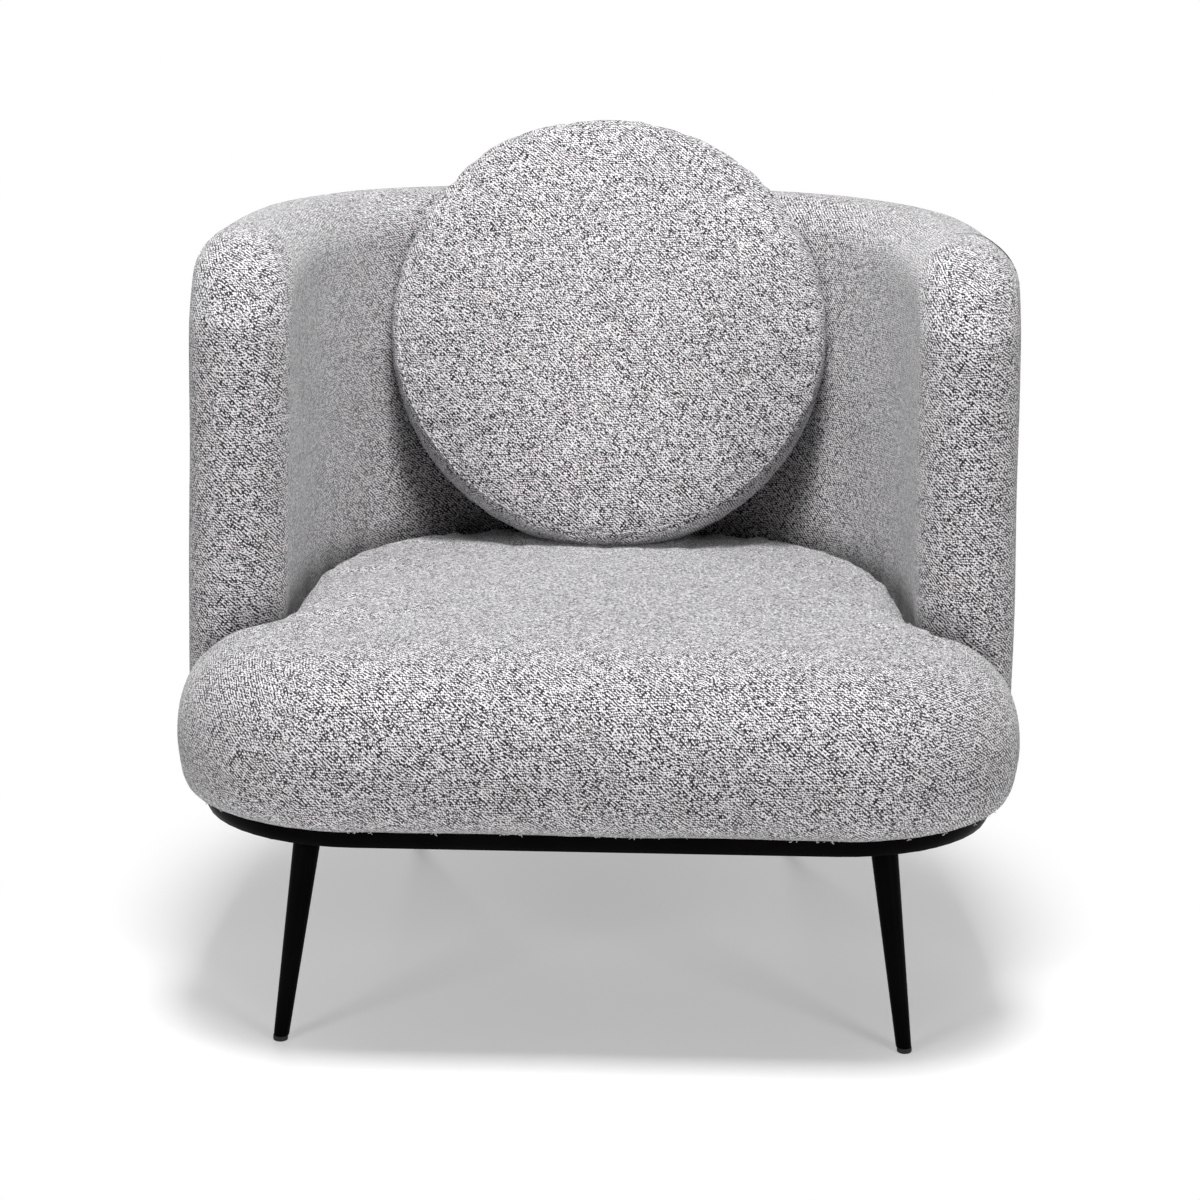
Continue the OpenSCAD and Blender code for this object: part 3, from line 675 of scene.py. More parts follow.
def repeated(name: str, shape: Mesh, spots: Iterable[Matrix]) -> Object:
    """Copies one small shape to many spots in one object.

    Args:
        name: The object's name.
        shape: The shape's mesh.
        spots: A transform for each copy.

    Returns:
        The object.
    """
    bm = bmesh.new()
    for spot in spots:
        first = len(bm.verts)
        bm.from_mesh(shape)
        bm.verts.ensure_lookup_table()
        bmesh.ops.transform(bm, matrix=spot, verts=bm.verts[first:])
    return added(name, bm)


def stand(place: Vector, way: Vector, roll: float, size: float) -> Matrix:
    """Returns a transform that puts the origin at a place and turns z along a way."""
    turn = way.to_track_quat("Z", "Y").to_matrix().to_4x4()
    return Matrix.Translation(place) @ turn @ Matrix.Rotation(roll, 4, "Z") @ Matrix.Scale(size, 4)


def extent(places: Iterable[Vector]) -> tuple[Vector, Vector]:
    """Returns the lowest and the highest corner of the box round places."""
    columns = list(zip(*places))
    return Vector(map(min, columns)), Vector(map(max, columns))


def loose_parts(node: str) -> list[tuple[Vector, Vector]]:
    """Finds the boxes round the separate solids of a CAD node.

    Args:
        node: The node's name.

    Returns:
        The lowest and the highest corner of each, from left to right.
    """
    bm = cad_copy(node)
    left, boxes = set(bm.verts), []
    while left:
        ring, part = [left.pop()], []
        while ring:
            vert = ring.pop()
            part.append(vert.co.copy())
            beside = {e.other_vert(vert) for e in vert.link_edges} & left
            left -= beside
            ring += beside
        boxes.append(extent(part))
    bm.free()
    return sorted(boxes, key=lambda box: tuple(box[0]))


def seam_ring(first: str, second: str, count: int = 720) -> list[Vector]:
    """Returns points along the outer edge where two round covers are sewn together.

    Args:
        first: One cover's node.
        second: The other's.
        count: How many points.

    Returns:
        The points in order round the seam.
    """
    tree = point_tree([vert.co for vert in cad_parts[second].data.vertices])
    bm = cad_copy(first)
    shared = np.array([v.co for v in bm.verts if tree.find(v.co)[2] < 0.05 * MM])
    bm.free()
    middle = shared.mean(0)
    _, _, axes = np.linalg.svd(shared - middle)
    flat = (shared - middle) @ axes.T
    radius = np.hypot(flat[:, 0], flat[:, 1])
    outer = flat[radius > radius.mean()]
    outer = outer[np.argsort(np.arctan2(outer[:, 1], outer[:, 0]))]
    size, places = len(outer), []
    for k in range(count):
        i, f = divmod(k * size / count, 1.0)
        a, b, c, d = (outer[(int(i) + n) % size] for n in (-1, 0, 1, 2))
        curve = 0.5 * (2 * b + (c - a) * f + (2 * a - 5 * b + 4 * c - d) * f * f
                       + (3 * b - a - 3 * c + d) * f ** 3)
        places.append(Vector(middle + curve @ axes))
    return places


class Upholstery:
    """A padded piece made from the outer skins of CAD covers."""

    def __init__(self, name: str, covers: Sequence[str], fillings: Sequence[str]) -> None:
        """Takes the outer skins of the covers and pairs their triangles.

        Args:
            name: The piece's name.
            covers: Nodes of its cover.
            fillings: Nodes of what the cover lies on.
        """
        tree, touching, thickness, weld = cad_tree(*fillings), 0.1 * MM, 5 * MM, 0.6 * MM
        bm = cad_copy(*covers)
        near = {v for v in bm.verts if (tree.find_nearest(v.co)[3] or 0.0) < touching}
        hidden = []
        for face in bm.faces:
            inner = [v for v in face.verts if v in near]
            outer = [v for v in face.verts if v not in near]
            across = any((a.co - b.co).length < thickness for a in inner for b in outer)
            if inner and (across or not outer):
                hidden.append(face)
        bmesh.ops.delete(bm, geom=hidden, context="FACES")
        bmesh.ops.remove_doubles(bm, verts=bm.verts, dist=weld)
        bmesh.ops.recalc_face_normals(bm, faces=bm.faces)
        bmesh.ops.join_triangles(bm, faces=bm.faces, angle_face_threshold=math.radians(50),
                                 angle_shape_threshold=math.pi)
        self.obj = added(name, bm)

    def fair(self, rounds: int = 3) -> None:
        """Subdivides the skin so that its smooth surface still passes through its own corners.

        Args:
            rounds: How often the corners are corrected.
        """
        mesh = self.obj.data
        goal = corners(mesh)
        subdivide(self.obj, "Fair", 2)
        for _ in range(rounds):
            now = evaluated(self.obj)
            put(mesh, corners(mesh) + goal - corners(now)[:len(goal)])
            bpy.data.meshes.remove(now)
        settle(self.obj)

    def close(self, height: float, inset: float = 9 * MM, above: float = 30 * MM) -> None:
        """Turns the open hem in at a height, closes it and rounds its edge.

        Args:
            height: The hem's height.
            inset: How far the hem is turned in.
            above: How far above that height its edge may start.
        """
        bm = bmesh.new()
        bm.from_mesh(self.obj.data)
        rim = [e for e in bm.edges if e.is_boundary
               and max(v.co.z for v in e.verts) < height + above]
        made = bmesh.ops.extrude_edge_only(bm, edges=rim)["geom"]
        ways = {}
        for v in (g for g in made if isinstance(g, BMVert)):
            ends = [e.other_vert(v).co for e in v.link_edges if e.is_boundary]
            if len(ends) == 2:
                run = (ends[1] - ends[0]).normalized()
                side = Vector((run.y, -run.x, 0.0))
                wall = next(e.other_vert(v) for e in v.link_edges if not e.is_boundary)
                out = Vector((wall.normal.x, wall.normal.y, 0.0))
                ways[v] = -side if side.dot(out) > 0 else side
        for v, way in ways.items():
            v.co += way * inset
            v.co.z = height
        edges = [g for g in made if isinstance(g, BMEdge)]
        bmesh.ops.holes_fill(bm, edges=edges, sides=0)
        bmesh.ops.triangulate(bm, faces=[f for f in bm.faces if len(f.verts) > 4])
        bmesh.ops.recalc_face_normals(bm, faces=bm.faces)
        bm.to_mesh(self.obj.data)
        bm.free()

    def remesh(self, size: float, rounds: int = 6) -> None:
        """Lays an even net of faces over the piece.

        Args:
            size: The net's width.
            rounds: How often it is evened out without shrinking.
        """
        net(self.obj, size)
        mesh = self.obj.data
        places = corners(mesh)
        for _ in range(rounds):
            soft = smoothed(mesh, places, 1)
            places = soft + 1.04 * (soft - smoothed(mesh, soft, 1))
        put(mesh, smoothed(mesh, places, 2))

    def relax(self, reach: Callable[[np.ndarray], np.ndarray], pressure: float = 4.0,
              frames: int = 20, keep: int = 24) -> None:
        """Blows the piece up as cloth, and keeps the folds and puckers that this gives it.

        Args:
            reach: Gives, for rows of places, how far each point may move.
            pressure: The cloth's pressure.
            frames: How many frames it runs.
            keep: Rounds of smoothing past which a change is one of form, and is left out.
        """
        rest = corners(self.obj.data)
        cloth = self.obj.modifiers.new("Cloth", "CLOTH")
        for key, value in dict(quality=5, mass=0.3, tension_stiffness=12,
                               compression_stiffness=12, shear_stiffness=6, bending_stiffness=0.6,
                               use_pressure=True, uniform_pressure_force=pressure).items():
            setattr(cloth.settings, key, value)
        cloth.settings.effector_weights.gravity = 0
        cloth.collision_settings.use_collision = False
        cloth.collision_settings.use_self_collision = False
        cloth.point_cache.frame_start, cloth.point_cache.frame_end = 1, frames
        for frame in range(1, frames + 1):
            bpy.context.scene.frame_set(frame)
        settle(self.obj)
        bpy.context.scene.frame_set(1)
        mesh = self.obj.data
        moved = corners(mesh) - rest
        folds = moved - smoothed(mesh, moved, keep)
        size = np.linalg.norm(folds, axis=1, keepdims=True).clip(1e-9)
        put(mesh, rest + folds * np.minimum(1.0, reach(rest)[:, None] / size))

    def push(self, steps: Sequence[float]) -> None:
        """Moves each point along its normal by its own distance."""
        mesh = self.obj.data
        put(mesh, corners(mesh) + directions(mesh) * np.array(steps)[:, None])

    def bed(self, neighbour: str, lumps: Callable[[Vector], float], reach: float,
            depth: float) -> None:
        """Gives the piece its lumps, and draws it in where it meets a neighbour.

        The draw-in fades before the arms' fronts, where the seat's ears lie free. Within 7 mm of
        the neighbour, CREASE_SHADE rises towards 1, and the tweed darkens its colour there as
        painted shade in the crease.

        Args:
            neighbour: The neighbour's CAD node.
            lumps: Gives how far the padding stands proud at a place.
            reach: How far from the neighbour the draw-in starts.
            depth: How deep it is.
        """
        shade_reach, fronts, fade = 7 * MM, -0.185, 0.05
        mesh, tree, steps = self.obj.data, cad_tree(neighbour), []
        crease_shade = mesh.attributes.new(CREASE_SHADE, "FLOAT", "POINT").data
        for k, place in enumerate(map(Vector, corners(mesh))):
            off = tree.find_nearest(place)[3]
            # painted crease shade: strongest against the neighbour, gone 7 mm from it
            crease_shade[k].value = max(0.0, 1 - off / shade_reach) ** 1.5
            inside = min(1.0, max(0.0, (place.y - fronts) / fade))
            steps.append(lumps(place) - depth * inside * max(0.0, 1 - off / reach) ** 3)
        self.push(steps)


# ---------------------------------------------------------------- the chair


@dataclass
class Tub:
    """Arms and back in one wrap-round padded shell."""

    finish: Material  # the cloth
    hem: float  # height of its lower edge
    lumps: float = 0.9 * MM  # depth of the padding's soft unevenness
    waves: float = 9.0  # how many lumps there are to a metre
    crease: float = 4 * MM  # how deep the cover draws in where it meets the seat
    roll: float = 18 * MM  # how far from the seat that starts

    def build(self) -> Object:
        """Builds the tub's cover over its foam.

        Returns:
            The piece.
        """
        piece = Upholstery("tub_upholstery", ["tub_cover"],
                           ["left_arm_foam", "right_arm_foam", "back_foam"])
        piece.fair()
        piece.close(self.hem)
        piece.bed("seat_cover", lambda p: self.lumps * lumpy(p * self.waves),
                  self.roll, self.crease)
        shade(piece.obj)
        subdivide(piece.obj, "Soft")
        dress(piece.obj, self.finish, CHAIR, "tweed", "tub_cover")
        return piece.obj


@dataclass
class Seat:
    """Full-width crowned seat, whose ears come forward of the arms."""

    finish: Material  # the cloth
    hem: float  # height of its lower edge
    net: float = 7.5 * MM  # width of the net that the cloth runs on
    folds: float = 8 * MM  # the most that a fold may stand up
    lumps: float = 1.1 * MM  # depth of the padding's soft unevenness
    waves: float = 8.0  # how many lumps there are to a metre
    crease: float = 18 * MM  # how deep the seat rolls down where it meets the tub
    roll: float = 24 * MM  # how far from the tub that roll starts

    def free(self, places: np.ndarray) -> np.ndarray:
        """Says how far places may move: most on the front and none at the hem.

        Args:
            places: A row for each place.

        Returns:
            Its distance for each.
        """
        front = np.clip((-0.20 - places[:, 1]) / 0.08, 0, 1)
        above = np.clip((places[:, 2] - self.hem) / 0.02, 0, 1)
        return self.folds * np.clip(front + 0.3, 0, 1) * above

    def build(self) -> Object:
        """Builds the seat's cover over its foam.

        Returns:
            The piece.
        """
        piece = Upholstery("seat_upholstery", ["seat_cover"], ["seat_foam"])
        piece.fair()
        piece.close(self.hem)
        piece.remesh(self.net)
        piece.relax(self.free)
        subdivide(piece.obj, "Refine")
        settle(piece.obj)
        start = Vector((3, 1, 7))
        piece.bed("tub_cover", lambda p: self.lumps * lumpy(p * self.waves + start),
                  self.roll, self.crease)
        shade(piece.obj)
        dress(piece.obj, self.finish, CHAIR, "tweed", "seat_cover")
        return piece.obj


@dataclass
class RoundCushion:
    """Loose round back cushion with a crowned face, a side band and a rear panel."""

    finish: Material  # the cloth
    thread: Material  # the thread of its face seam
    lo: Vector  # the filling's lowest corner
    hi: Vector  # its highest corner
    net: float = 4.5 * MM  # width of the net that the cloth runs on
    folds: float = 10 * MM  # the most that a fold may stand up
    bulge: float = 7 * MM  # how far the rim swells past a true circle at one place
    bulge_at: float = math.radians(122)  # the angle of that place from straight right
    bulge_width: float = 0.30  # the angle over which it fades
    groove: float = 2.0 * MM  # depth of the seams' grooves
    groove_width: float = 3.0 * MM  # their half-width
    stitch: float = 4.6 * MM  # length of a stitch
    stitches: int = 190  # how many stitches go round the face
    aside: float = 3.6 * MM  # how far they lie from the seam, on the face
    seams: KDTree = field(init=False)  # search tree of the seams, which build makes

    def free(self, places: np.ndarray) -> np.ndarray:
        """Says how far places may move: less on the rear and low down, where it leans.

        Args:
            places: A row for each place.

        Returns:
            Its distance for each.
        """
        front = (self.hi.y - places[:, 1]) / (self.hi.y - self.lo.y)
        above = np.clip((places[:, 2] - self.lo.z) / 0.03, 0.1, 1)
        return self.folds * np.clip(0.15 + np.clip(front, 0, 1) * 1.2, 0, 1) * above

    def swell(self, place: Vector) -> float:
        """Returns how far the cover stands proud at a place, or sinks at a seam.

        Args:
            place: The place.

        Returns:
            The distance.
        """
        way = place - (self.lo + self.hi) / 2
        sewn = math.exp(-(self.seams.find(place)[2] / self.groove_width) ** 2)
        turned = math.atan2(way.z, way.x) - self.bulge_at
        rim = min(1.0, math.hypot(way.x, way.z) / (0.5 * (self.hi.x - self.lo.x)))
        swollen = math.exp(-(turned / self.bulge_width) ** 2) * rim ** 6
        return self.bulge * swollen - self.groove * sewn

    def sewing(self, cover: Object, ring: Sequence[Vector]) -> None:
        """Lays the stitches of the face seam on the cover.

        Args:
            cover: The cover.
            ring: Points round the seam.
        """
        mesh = evaluated(cover)
        tree = BVHTree.FromPolygons([v.co.copy() for v in mesh.vertices],
                                    [tuple(face.vertices) for face in mesh.polygons])
        bpy.data.meshes.remove(mesh)
        chance = random.Random(5)
        inward = ((self.lo + self.hi) / 2 - sum(ring, Vector()) / len(ring)).normalized()
        spots = []
        for k in range(self.stitches):
            i = k * len(ring) // self.stitches
            run = (ring[(i + 3) % len(ring)] - ring[i - 3]).normalized()
            place, normal, _, _ = tree.find_nearest(ring[i] - inward * self.aside)
            way = run + normal * 0.25 + inward * chance.uniform(-0.15, 0.15)
            start = place + normal * 0.3 * MM - run * self.stitch / 2
            spots.append(stand(start, way, 0.0, chance.uniform(0.7, 1.1)))
        shape = thread_shape(0.75 * MM, self.stitch, -0.5)
        dress(repeated("cushion_face_stitches", shape, spots), self.thread, CUSHION, "tweed")

    def build(self) -> Object:
        """Builds the cushion's cover.

        Returns:
            The piece.
        """
        covers = "cushion_front_panel", "cushion_band", "cushion_rear_panel"
        front, rear = (seam_ring(panel, "cushion_band") for panel in (covers[0], covers[2]))
        self.seams = point_tree(front + rear)
        piece = Upholstery("round_cushion", covers, ["cushion_filling"])
        piece.fair()
        piece.remesh(self.net, 3)
        piece.relax(self.free)
        piece.push([self.swell(Vector(place)) for place in corners(piece.obj.data)])
        shade(piece.obj)
        subdivide(piece.obj, "Soft")
        dress(piece.obj, self.finish, CUSHION, "tweed", *covers)
        self.sewing(piece.obj, front)
        return piece.obj


@dataclass
class HemFibres:
    """Loops and ends of pale yarn that stand off a cover."""

    name: str  # the piece's name
    finish: Material  # the yarn
    tufts: int = 80  # how many tufts there are
    reach: float = 4.2 * MM  # length of a fibre
    fall: float = -0.75  # how much the fibres hang, or stand where it is above 0
    seed: int = 11  # start of the random draws
    lean: float = 0.55  # how much they stand off
    stray: float = 0.7  # how much their ways differ
    radius: float = 0.3 * MM  # half a fibre's thickness
    curl: float = 2.2  # the angle that it turns through

    def build(self, cover: Object, edge: Callable[[Vector, Vector], bool]) -> None:
        """Sets the fibres on a cover.

        Args:
            cover: The cover.
            edge: Tells from a place and its normal whether fibres may stand there.
        """
        chance = random.Random(self.seed)
        roots = [v for v in cover.data.vertices if edge(v.co, v.normal)]
        spots = []
        for root in chance.sample(roots, min(self.tufts, len(roots))):
            for _ in range(chance.randint(1, 3)):
                stray = Vector([chance.uniform(-1, 1) for _ in range(3)])
                way = root.normal * self.lean + Vector((0, 0, self.fall)) + stray * self.stray
                start = root.co - root.normal * self.radius + stray * 0.9 * MM
                spots.append(stand(start, way, chance.uniform(0, 6.28), chance.uniform(0.55, 1.15)))
        shape = thread_shape(self.radius, self.reach, self.curl)
        dress(repeated(self.name, shape, spots), self.finish, CHAIR, "tweed")


@dataclass
class Straps:
    """Elastic webbing straps stretched over the seat's frame."""

    node: str  # the CAD node of the straps that run one way
    finish: Material  # the webbing
    rests_on: tuple[str, ...]  # what they are fixed to; not used
    step: float = 5 * MM  # width of their net of faces
    ribs: float = 0.12 * MM  # depth of the weave's ribs
    pitch: float = 2.2 * MM  # width over which a rib turns through one radian
    edge: float = 0.25 * MM  # how far the selvedges bend down

    def build(self) -> None:
        """Builds each strap as a thin ribbed band with rounded edges."""
        for k, (lo, hi) in enumerate(loose_parts(self.node)):
            size, middle = hi - lo, (lo + hi) / 2
            bm = bmesh.new()
            bmesh.ops.create_grid(bm, x_segments=int(size.x / self.step),
                                  y_segments=int(size.y / self.step), size=0.5)
            bmesh.ops.scale(bm, vec=(size.x, size.y, 1), verts=bm.verts)
            bmesh.ops.translate(bm, vec=middle, verts=bm.verts)
            cross = 1 if size.x > size.y else 0
            for v in bm.verts:
                aside = v.co[cross] - middle[cross]
                bend = (aside / (size[cross] / 2)) ** 8
                v.co.z += self.ribs * math.cos(aside / self.pitch) - self.edge * bend
            bmesh.ops.recalc_face_normals(bm, faces=bm.faces)
            bmesh.ops.solidify(bm, geom=bm.faces[:], thickness=size.z - 3 * self.ribs)
            low, high = min(v.co.z for v in bm.verts), max(v.co.z for v in bm.verts)
            bmesh.ops.translate(bm, vec=(0, 0, middle.z - (low + high) / 2), verts=bm.verts)
            bmesh.ops.recalc_face_normals(bm, faces=bm.faces)
            obj = added(f"{self.node}_{k + 1}", bm)
            shade(obj, math.radians(40))
            dress(obj, self.finish, CHAIR, "webbing", self.node)


@dataclass
class Zip:
    """Toothed zip on woven tape across the cushion's rear."""

    cloth: Material  # the tape
    metal: Material  # the teeth
    pitch: float = 2.6 * MM  # step of the teeth on one side
    aside: float = 0.8 * MM  # how far each side's teeth lie from the middle
    high: float = 1.3 * MM  # how high they lie
    # a tooth's length, width and height
    tooth: tuple[float, float, float] = (0.95 * MM, 3.3 * MM, 1.7 * MM)
    edge: float = 0.22 * MM  # width of its softened edges
    tape: float = 0.8 * MM  # the tape's thickness with its ribs
    ground: float = 0.5 * MM  # its thickness between them
    rib: float = 0.12 * MM  # depth of the ribs
    rib_pitch: float = 4 * MM  # step of the ribs
    clear: float = 5.5 * MM  # how far the teeth keep from the tape's ends

    def frame(self) -> tuple[Matrix, float, float]:
        """Finds the zip's own axes.

        Returns:
            The axes, with z out of the cushion, and the tape's length and width.
        """
        bm = cad_copy("cushion_zip")
        flats = [f for f in bm.faces if abs(f.normal.x) < 0.1]
        sums = {}
        for face in flats:
            key = tuple(round(c, 2) for c in face.normal)
            sums[key] = sums.get(key, 0.0) + face.calc_area()
        under = Vector(max(sums, key=sums.get)).normalized()
        places = [v.co.copy() for f in flats if f.normal.dot(under) > 0.99 for v in f.verts]
        bm.free()
        along = Vector((1, 0, 0))
        side = (-under).cross(along).normalized()
        lo, hi = extent(places)
        widths = [place.dot(side) for place in places]
        turn = Matrix((along, side, -under)).transposed().to_4x4()
        axes = Matrix.Translation((lo + hi) / 2) @ turn
        return axes, hi.x - lo.x, max(widths) - min(widths)

    def woven(self, axes: Matrix, long: float, wide: float) -> Object:
        """Builds the tape.

        Args:
            axes: The zip's own axes.
            long: The tape's length.
            wide: Its width.

        Returns:
            The piece.
        """
        bm = bmesh.new()
        bmesh.ops.create_grid(bm, x_segments=118, y_segments=12, size=0.5)
        bmesh.ops.scale(bm, vec=(long, wide, 1), verts=bm.verts)
        for v in bm.verts:
            v.co.z = self.tape - self.rib * (1 - math.cos(v.co.y * 2 * math.pi / self.rib_pitch))
        bmesh.ops.solidify(bm, geom=bm.faces[:], thickness=self.ground)
        bmesh.ops.recalc_face_normals(bm, faces=bm.faces)
        top = max(v.co.z for v in bm.verts)
        bmesh.ops.translate(bm, vec=(0, 0, self.tape - top), verts=bm.verts)
        bmesh.ops.transform(bm, matrix=axes, verts=bm.verts)
        tape = added("zip_woven_tape", bm)
        shade(tape, math.radians(50))
        dress(tape, self.cloth, CUSHION, "zip_tape", "cushion_zip")
        return tape

    def build(self) -> None:
        """Builds the tape and the two rows of teeth."""
        axes, long, wide = self.frame()
        tape = self.woven(axes, long, wide)
        bm = bmesh.new()
        bmesh.ops.create_cube(bm, size=1)
        bmesh.ops.scale(bm, vec=self.tooth, verts=bm.verts)
        bmesh.ops.bevel(bm, geom=bm.edges[:], offset=self.edge, offset_type="OFFSET", segments=1,
                        profile=0.5, material=-1, affect="EDGES")
        spots = [axes @ Matrix.Translation((-long / 2 + self.clear + k * self.pitch / 2,
                                            self.aside if k % 2 else -self.aside, self.high))
                 for k in range(int((long - 2 * self.clear) / self.pitch * 2))]
        teeth = repeated("zip_teeth", meshed("tooth", bm), spots)
        dress(teeth, self.metal, CUSHION, "zip_metal", "cushion_zip")


@dataclass
class Stuffing:
    """A foam or filled body under a cover."""

    name: str  # the piece's name
    node: str  # the CAD node that it stands for
    body: str  # the body that it rides on
    finish: Material  # its material
    net: float = 12 * MM  # width of its net of faces
    inset: float = 5 * MM  # how far it stays in from the cover

    def build(self) -> None:
        """Builds the body."""
        obj = added(self.name, cad_copy(self.node))
        net(obj, self.net)
        places = smoothed(obj.data, corners(obj.data), 2)
        put(obj.data, places)
        put(obj.data, places - directions(obj.data) * self.inset)
        shade(obj)
        dress(obj, self.finish, self.body, "foam", self.node)


@dataclass
class HardParts:
    """Frame, legs, base panel and fasteners, which keep their CAD shapes."""

    finishes: dict[str, Material]  # the finish of each node
    # the material slots of the nodes that get smooth sides and softened edges
    slots: dict[str, str] = field(default_factory=lambda: {
        **dict.fromkeys(LEGS, "leg_black"), "base_panel": "base_black",
        "foot_glides": "glide_plastic", "zip_slider": "zip_metal"})
    edge: float = 0.5 * MM  # width of the softened edges, half as wide on the small slider

    def build(self) -> None:
        """Gives each node its finish, and rounds the turned and press-formed ones."""
        for node, finish in self.finishes.items():
            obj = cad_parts[node]
            obj.data.materials.clear()
            obj.data.materials.append(finish)
        for node, slot in self.slots.items():
            body, edge = (SLIDER, self.edge / 2) if node == "zip_slider" else (CHAIR, self.edge)
            self.rounded(node, body, slot, edge)

    def rounded(self, node: str, body: str, slot: str, edge: float) -> None:
        """Replaces a node by a copy with joined faces, smooth sides and softened edges.

        Args:
            node: The node's name.
            body: The body that it rides on.
            slot: A material slot's name, passed on to dress.
            edge: Width of the softened edges.
        """
        bm = cad_copy(node)
        bmesh.ops.dissolve_limit(bm, angle_limit=math.radians(1), verts=bm.verts, edges=bm.edges)
        sharp = [e for e in bm.edges
                 if e.is_manifold and math.radians(35) < e.calc_face_angle(0.0)]
        bmesh.ops.bevel(bm, geom=sharp, offset=edge, offset_type="OFFSET", segments=2, profile=0.5,
                        material=-1, affect="EDGES", clamp_overlap=True)
        obj = added(node + "_finished", bm)
        shade(obj, math.radians(32))
        dress(obj, self.finishes[node], body, slot, node)


@dataclass(frozen=True)
class Lamp:
    """A square soft box."""

    name: str  # its name
    place: tuple[float, float, float]  # where it hangs
    aim: float  # how high over the chair's middle it points
    size: float  # its side
    power: float  # its power in watts

    def hang(self) -> None:
        """Hangs it in the scene."""
        data = bpy.data.lights.new(self.name, "AREA")
        data.shape, data.size, data.energy = "SQUARE", self.size, self.power
        way = Vector((0, 0, self.aim)) - Vector(self.place)
        turn = way.to_track_quat("-Z", "Y").to_matrix().to_4x4()
        added(self.name, data, Matrix.Translation(self.place) @ turn)


@dataclass
class Studio:
    """White studio with the photograph's camera and plain soft light."""

    place: tuple[float, float, float] = (0.035785, -2.905516, 1.059279)  # the camera's place
    yaw: float = 0.0137412  # its turn to the left
    pitch: float = 0.2343653  # its dip
    roll: float = -0.0145917  # its roll
    focal: float = 2859.129  # its focal length in pixels of the picture
    size: float = 1200.0  # the picture's width in pixels
    sensor: float = 36.0  # the sensor's width in millimetres
    # how far the picture's middle lies off the lens's axis, in pixels
    shift: tuple[float, float] = (1.259, 0.045)
    # the soft boxes
    lamps: tuple[Lamp, ...] = (Lamp("overhead", (0.0, -0.7, 3.3), 0.4, 0.9, 106),
                               Lamp("left", (-2.2, -2.8, 1.4), 0.5, 0.9, 25),
                               Lamp("right", (2.2, -2.8, 1.4), 0.5, 0.9, 27),
                               Lamp("rear", (-0.7, 3.6, 1.3), 0.5, 1.4, 50))
    ambient: float = 0.10  # strength of the light from all round
    tint: tuple[float, ...] = (1.0, 0.995, 1.0, 1.0)  # its colour
    ground: tuple[float, ...] = (0.82, 0.82, 0.82, 1.0)  # colour of the floor
    glow: float = 0.30  # how much the floor shines by itself, which pales its shadow
    # distances over which the floor goes from keeping its shadow to plain white
    shadow: tuple[float, float] = (0.38, 0.68)

    def camera(self) -> None:
        """Sets up the camera where the photograph was taken."""
        data = bpy.data.cameras.new("camera")
        data.sensor_width = self.sensor
        data.lens = self.focal / self.size * self.sensor
        data.shift_x, data.shift_y = (shift / self.size for shift in self.shift)
        data.clip_end = 60
        turn = Matrix.Rotation(self.yaw, 3, "Z") @ Matrix.Rotation(-self.pitch, 3, "X")
        right, ahead, up = turn.col
        c, s = math.cos(self.roll), math.sin(self.roll)
        axes = Matrix((right * c - up * s, right * s + up * c, -ahead)).transposed().to_4x4()
        bpy.context.scene.camera = added("camera", data, Matrix.Translation(self.place) @ axes)

    @staticmethod
    def shown(g: Graph) -> Wire:
        """Tells what the camera sees from what only gets light.

        Args:
            g: The graph of nodes.

        Returns:
            1 for whatever the camera sees, also in a mirror or through glass.
        """
        path = g.add("ShaderNodeLightPath")
        camera, mirror, glass = (Wire(g, path.outputs[f"Is {ray} Ray"])
                                 for ray in ("Camera", "Glossy", "Transmission"))
        return g.math("MAXIMUM", g.math("MAXIMUM", camera, mirror), glass)

    def world(self) -> None:
        """Lights the scene from all round, with a white background."""
        world = bpy.data.worlds.new("studio")
        bpy.context.scene.world = world
        g = Graph(world)
        light = g.wire("ShaderNodeBackground", {0: self.tint, 1: self.ambient})
        white = g.wire("ShaderNodeBackground", {0: WHITE, 1: 1.0})
        g.add("ShaderNodeOutputWorld", {
            0: g.wire("ShaderNodeMixShader", {0: self.shown(g), 1: light, 2: white})})

    def floor(self) -> None:
        """Lays a plain white floor that keeps the chair's shadow."""
        bm = bmesh.new()
        bmesh.ops.create_grid(bm, x_segments=1, y_segments=1, size=12)
        obj = added("floor", bm)
        g = Graph(bpy.data.materials.new("studio_floor"))
        matt = g.wire("ShaderNodeBsdfDiffuse", {"Color": self.ground})
        glow, white = (g.wire("ShaderNodeEmission", {"Color": WHITE, "Strength": strength})
                       for strength in (self.glow, 1.0))
        far = g.wire("ShaderNodeVectorMath", {0: g.point()}, "Value", operation="LENGTH")
        fade = g.wire("ShaderNodeMapRange", {0: far, 1: self.shadow[0], 2: self.shadow[1]},
                      interpolation_type="SMOOTHSTEP")
        lit = g.wire("ShaderNodeAddShader", {0: matt, 1: glow})
        seen = g.wire("ShaderNodeMixShader", {0: fade, 1: lit, 2: white})
        g.add("ShaderNodeOutputMaterial", {
            0: g.wire("ShaderNodeMixShader", {0: self.shown(g), 1: matt, 2: seen})})
        obj.data.materials.append(g.owner)

    def build(self) -> None:
        """Sets up the camera, the lamps, the world and the floor."""
        self.camera()
        self.world()
        for lamp in self.lamps:
            lamp.hang()
        self.floor()
        bpy.context.scene.view_settings.view_transform = "Standard"


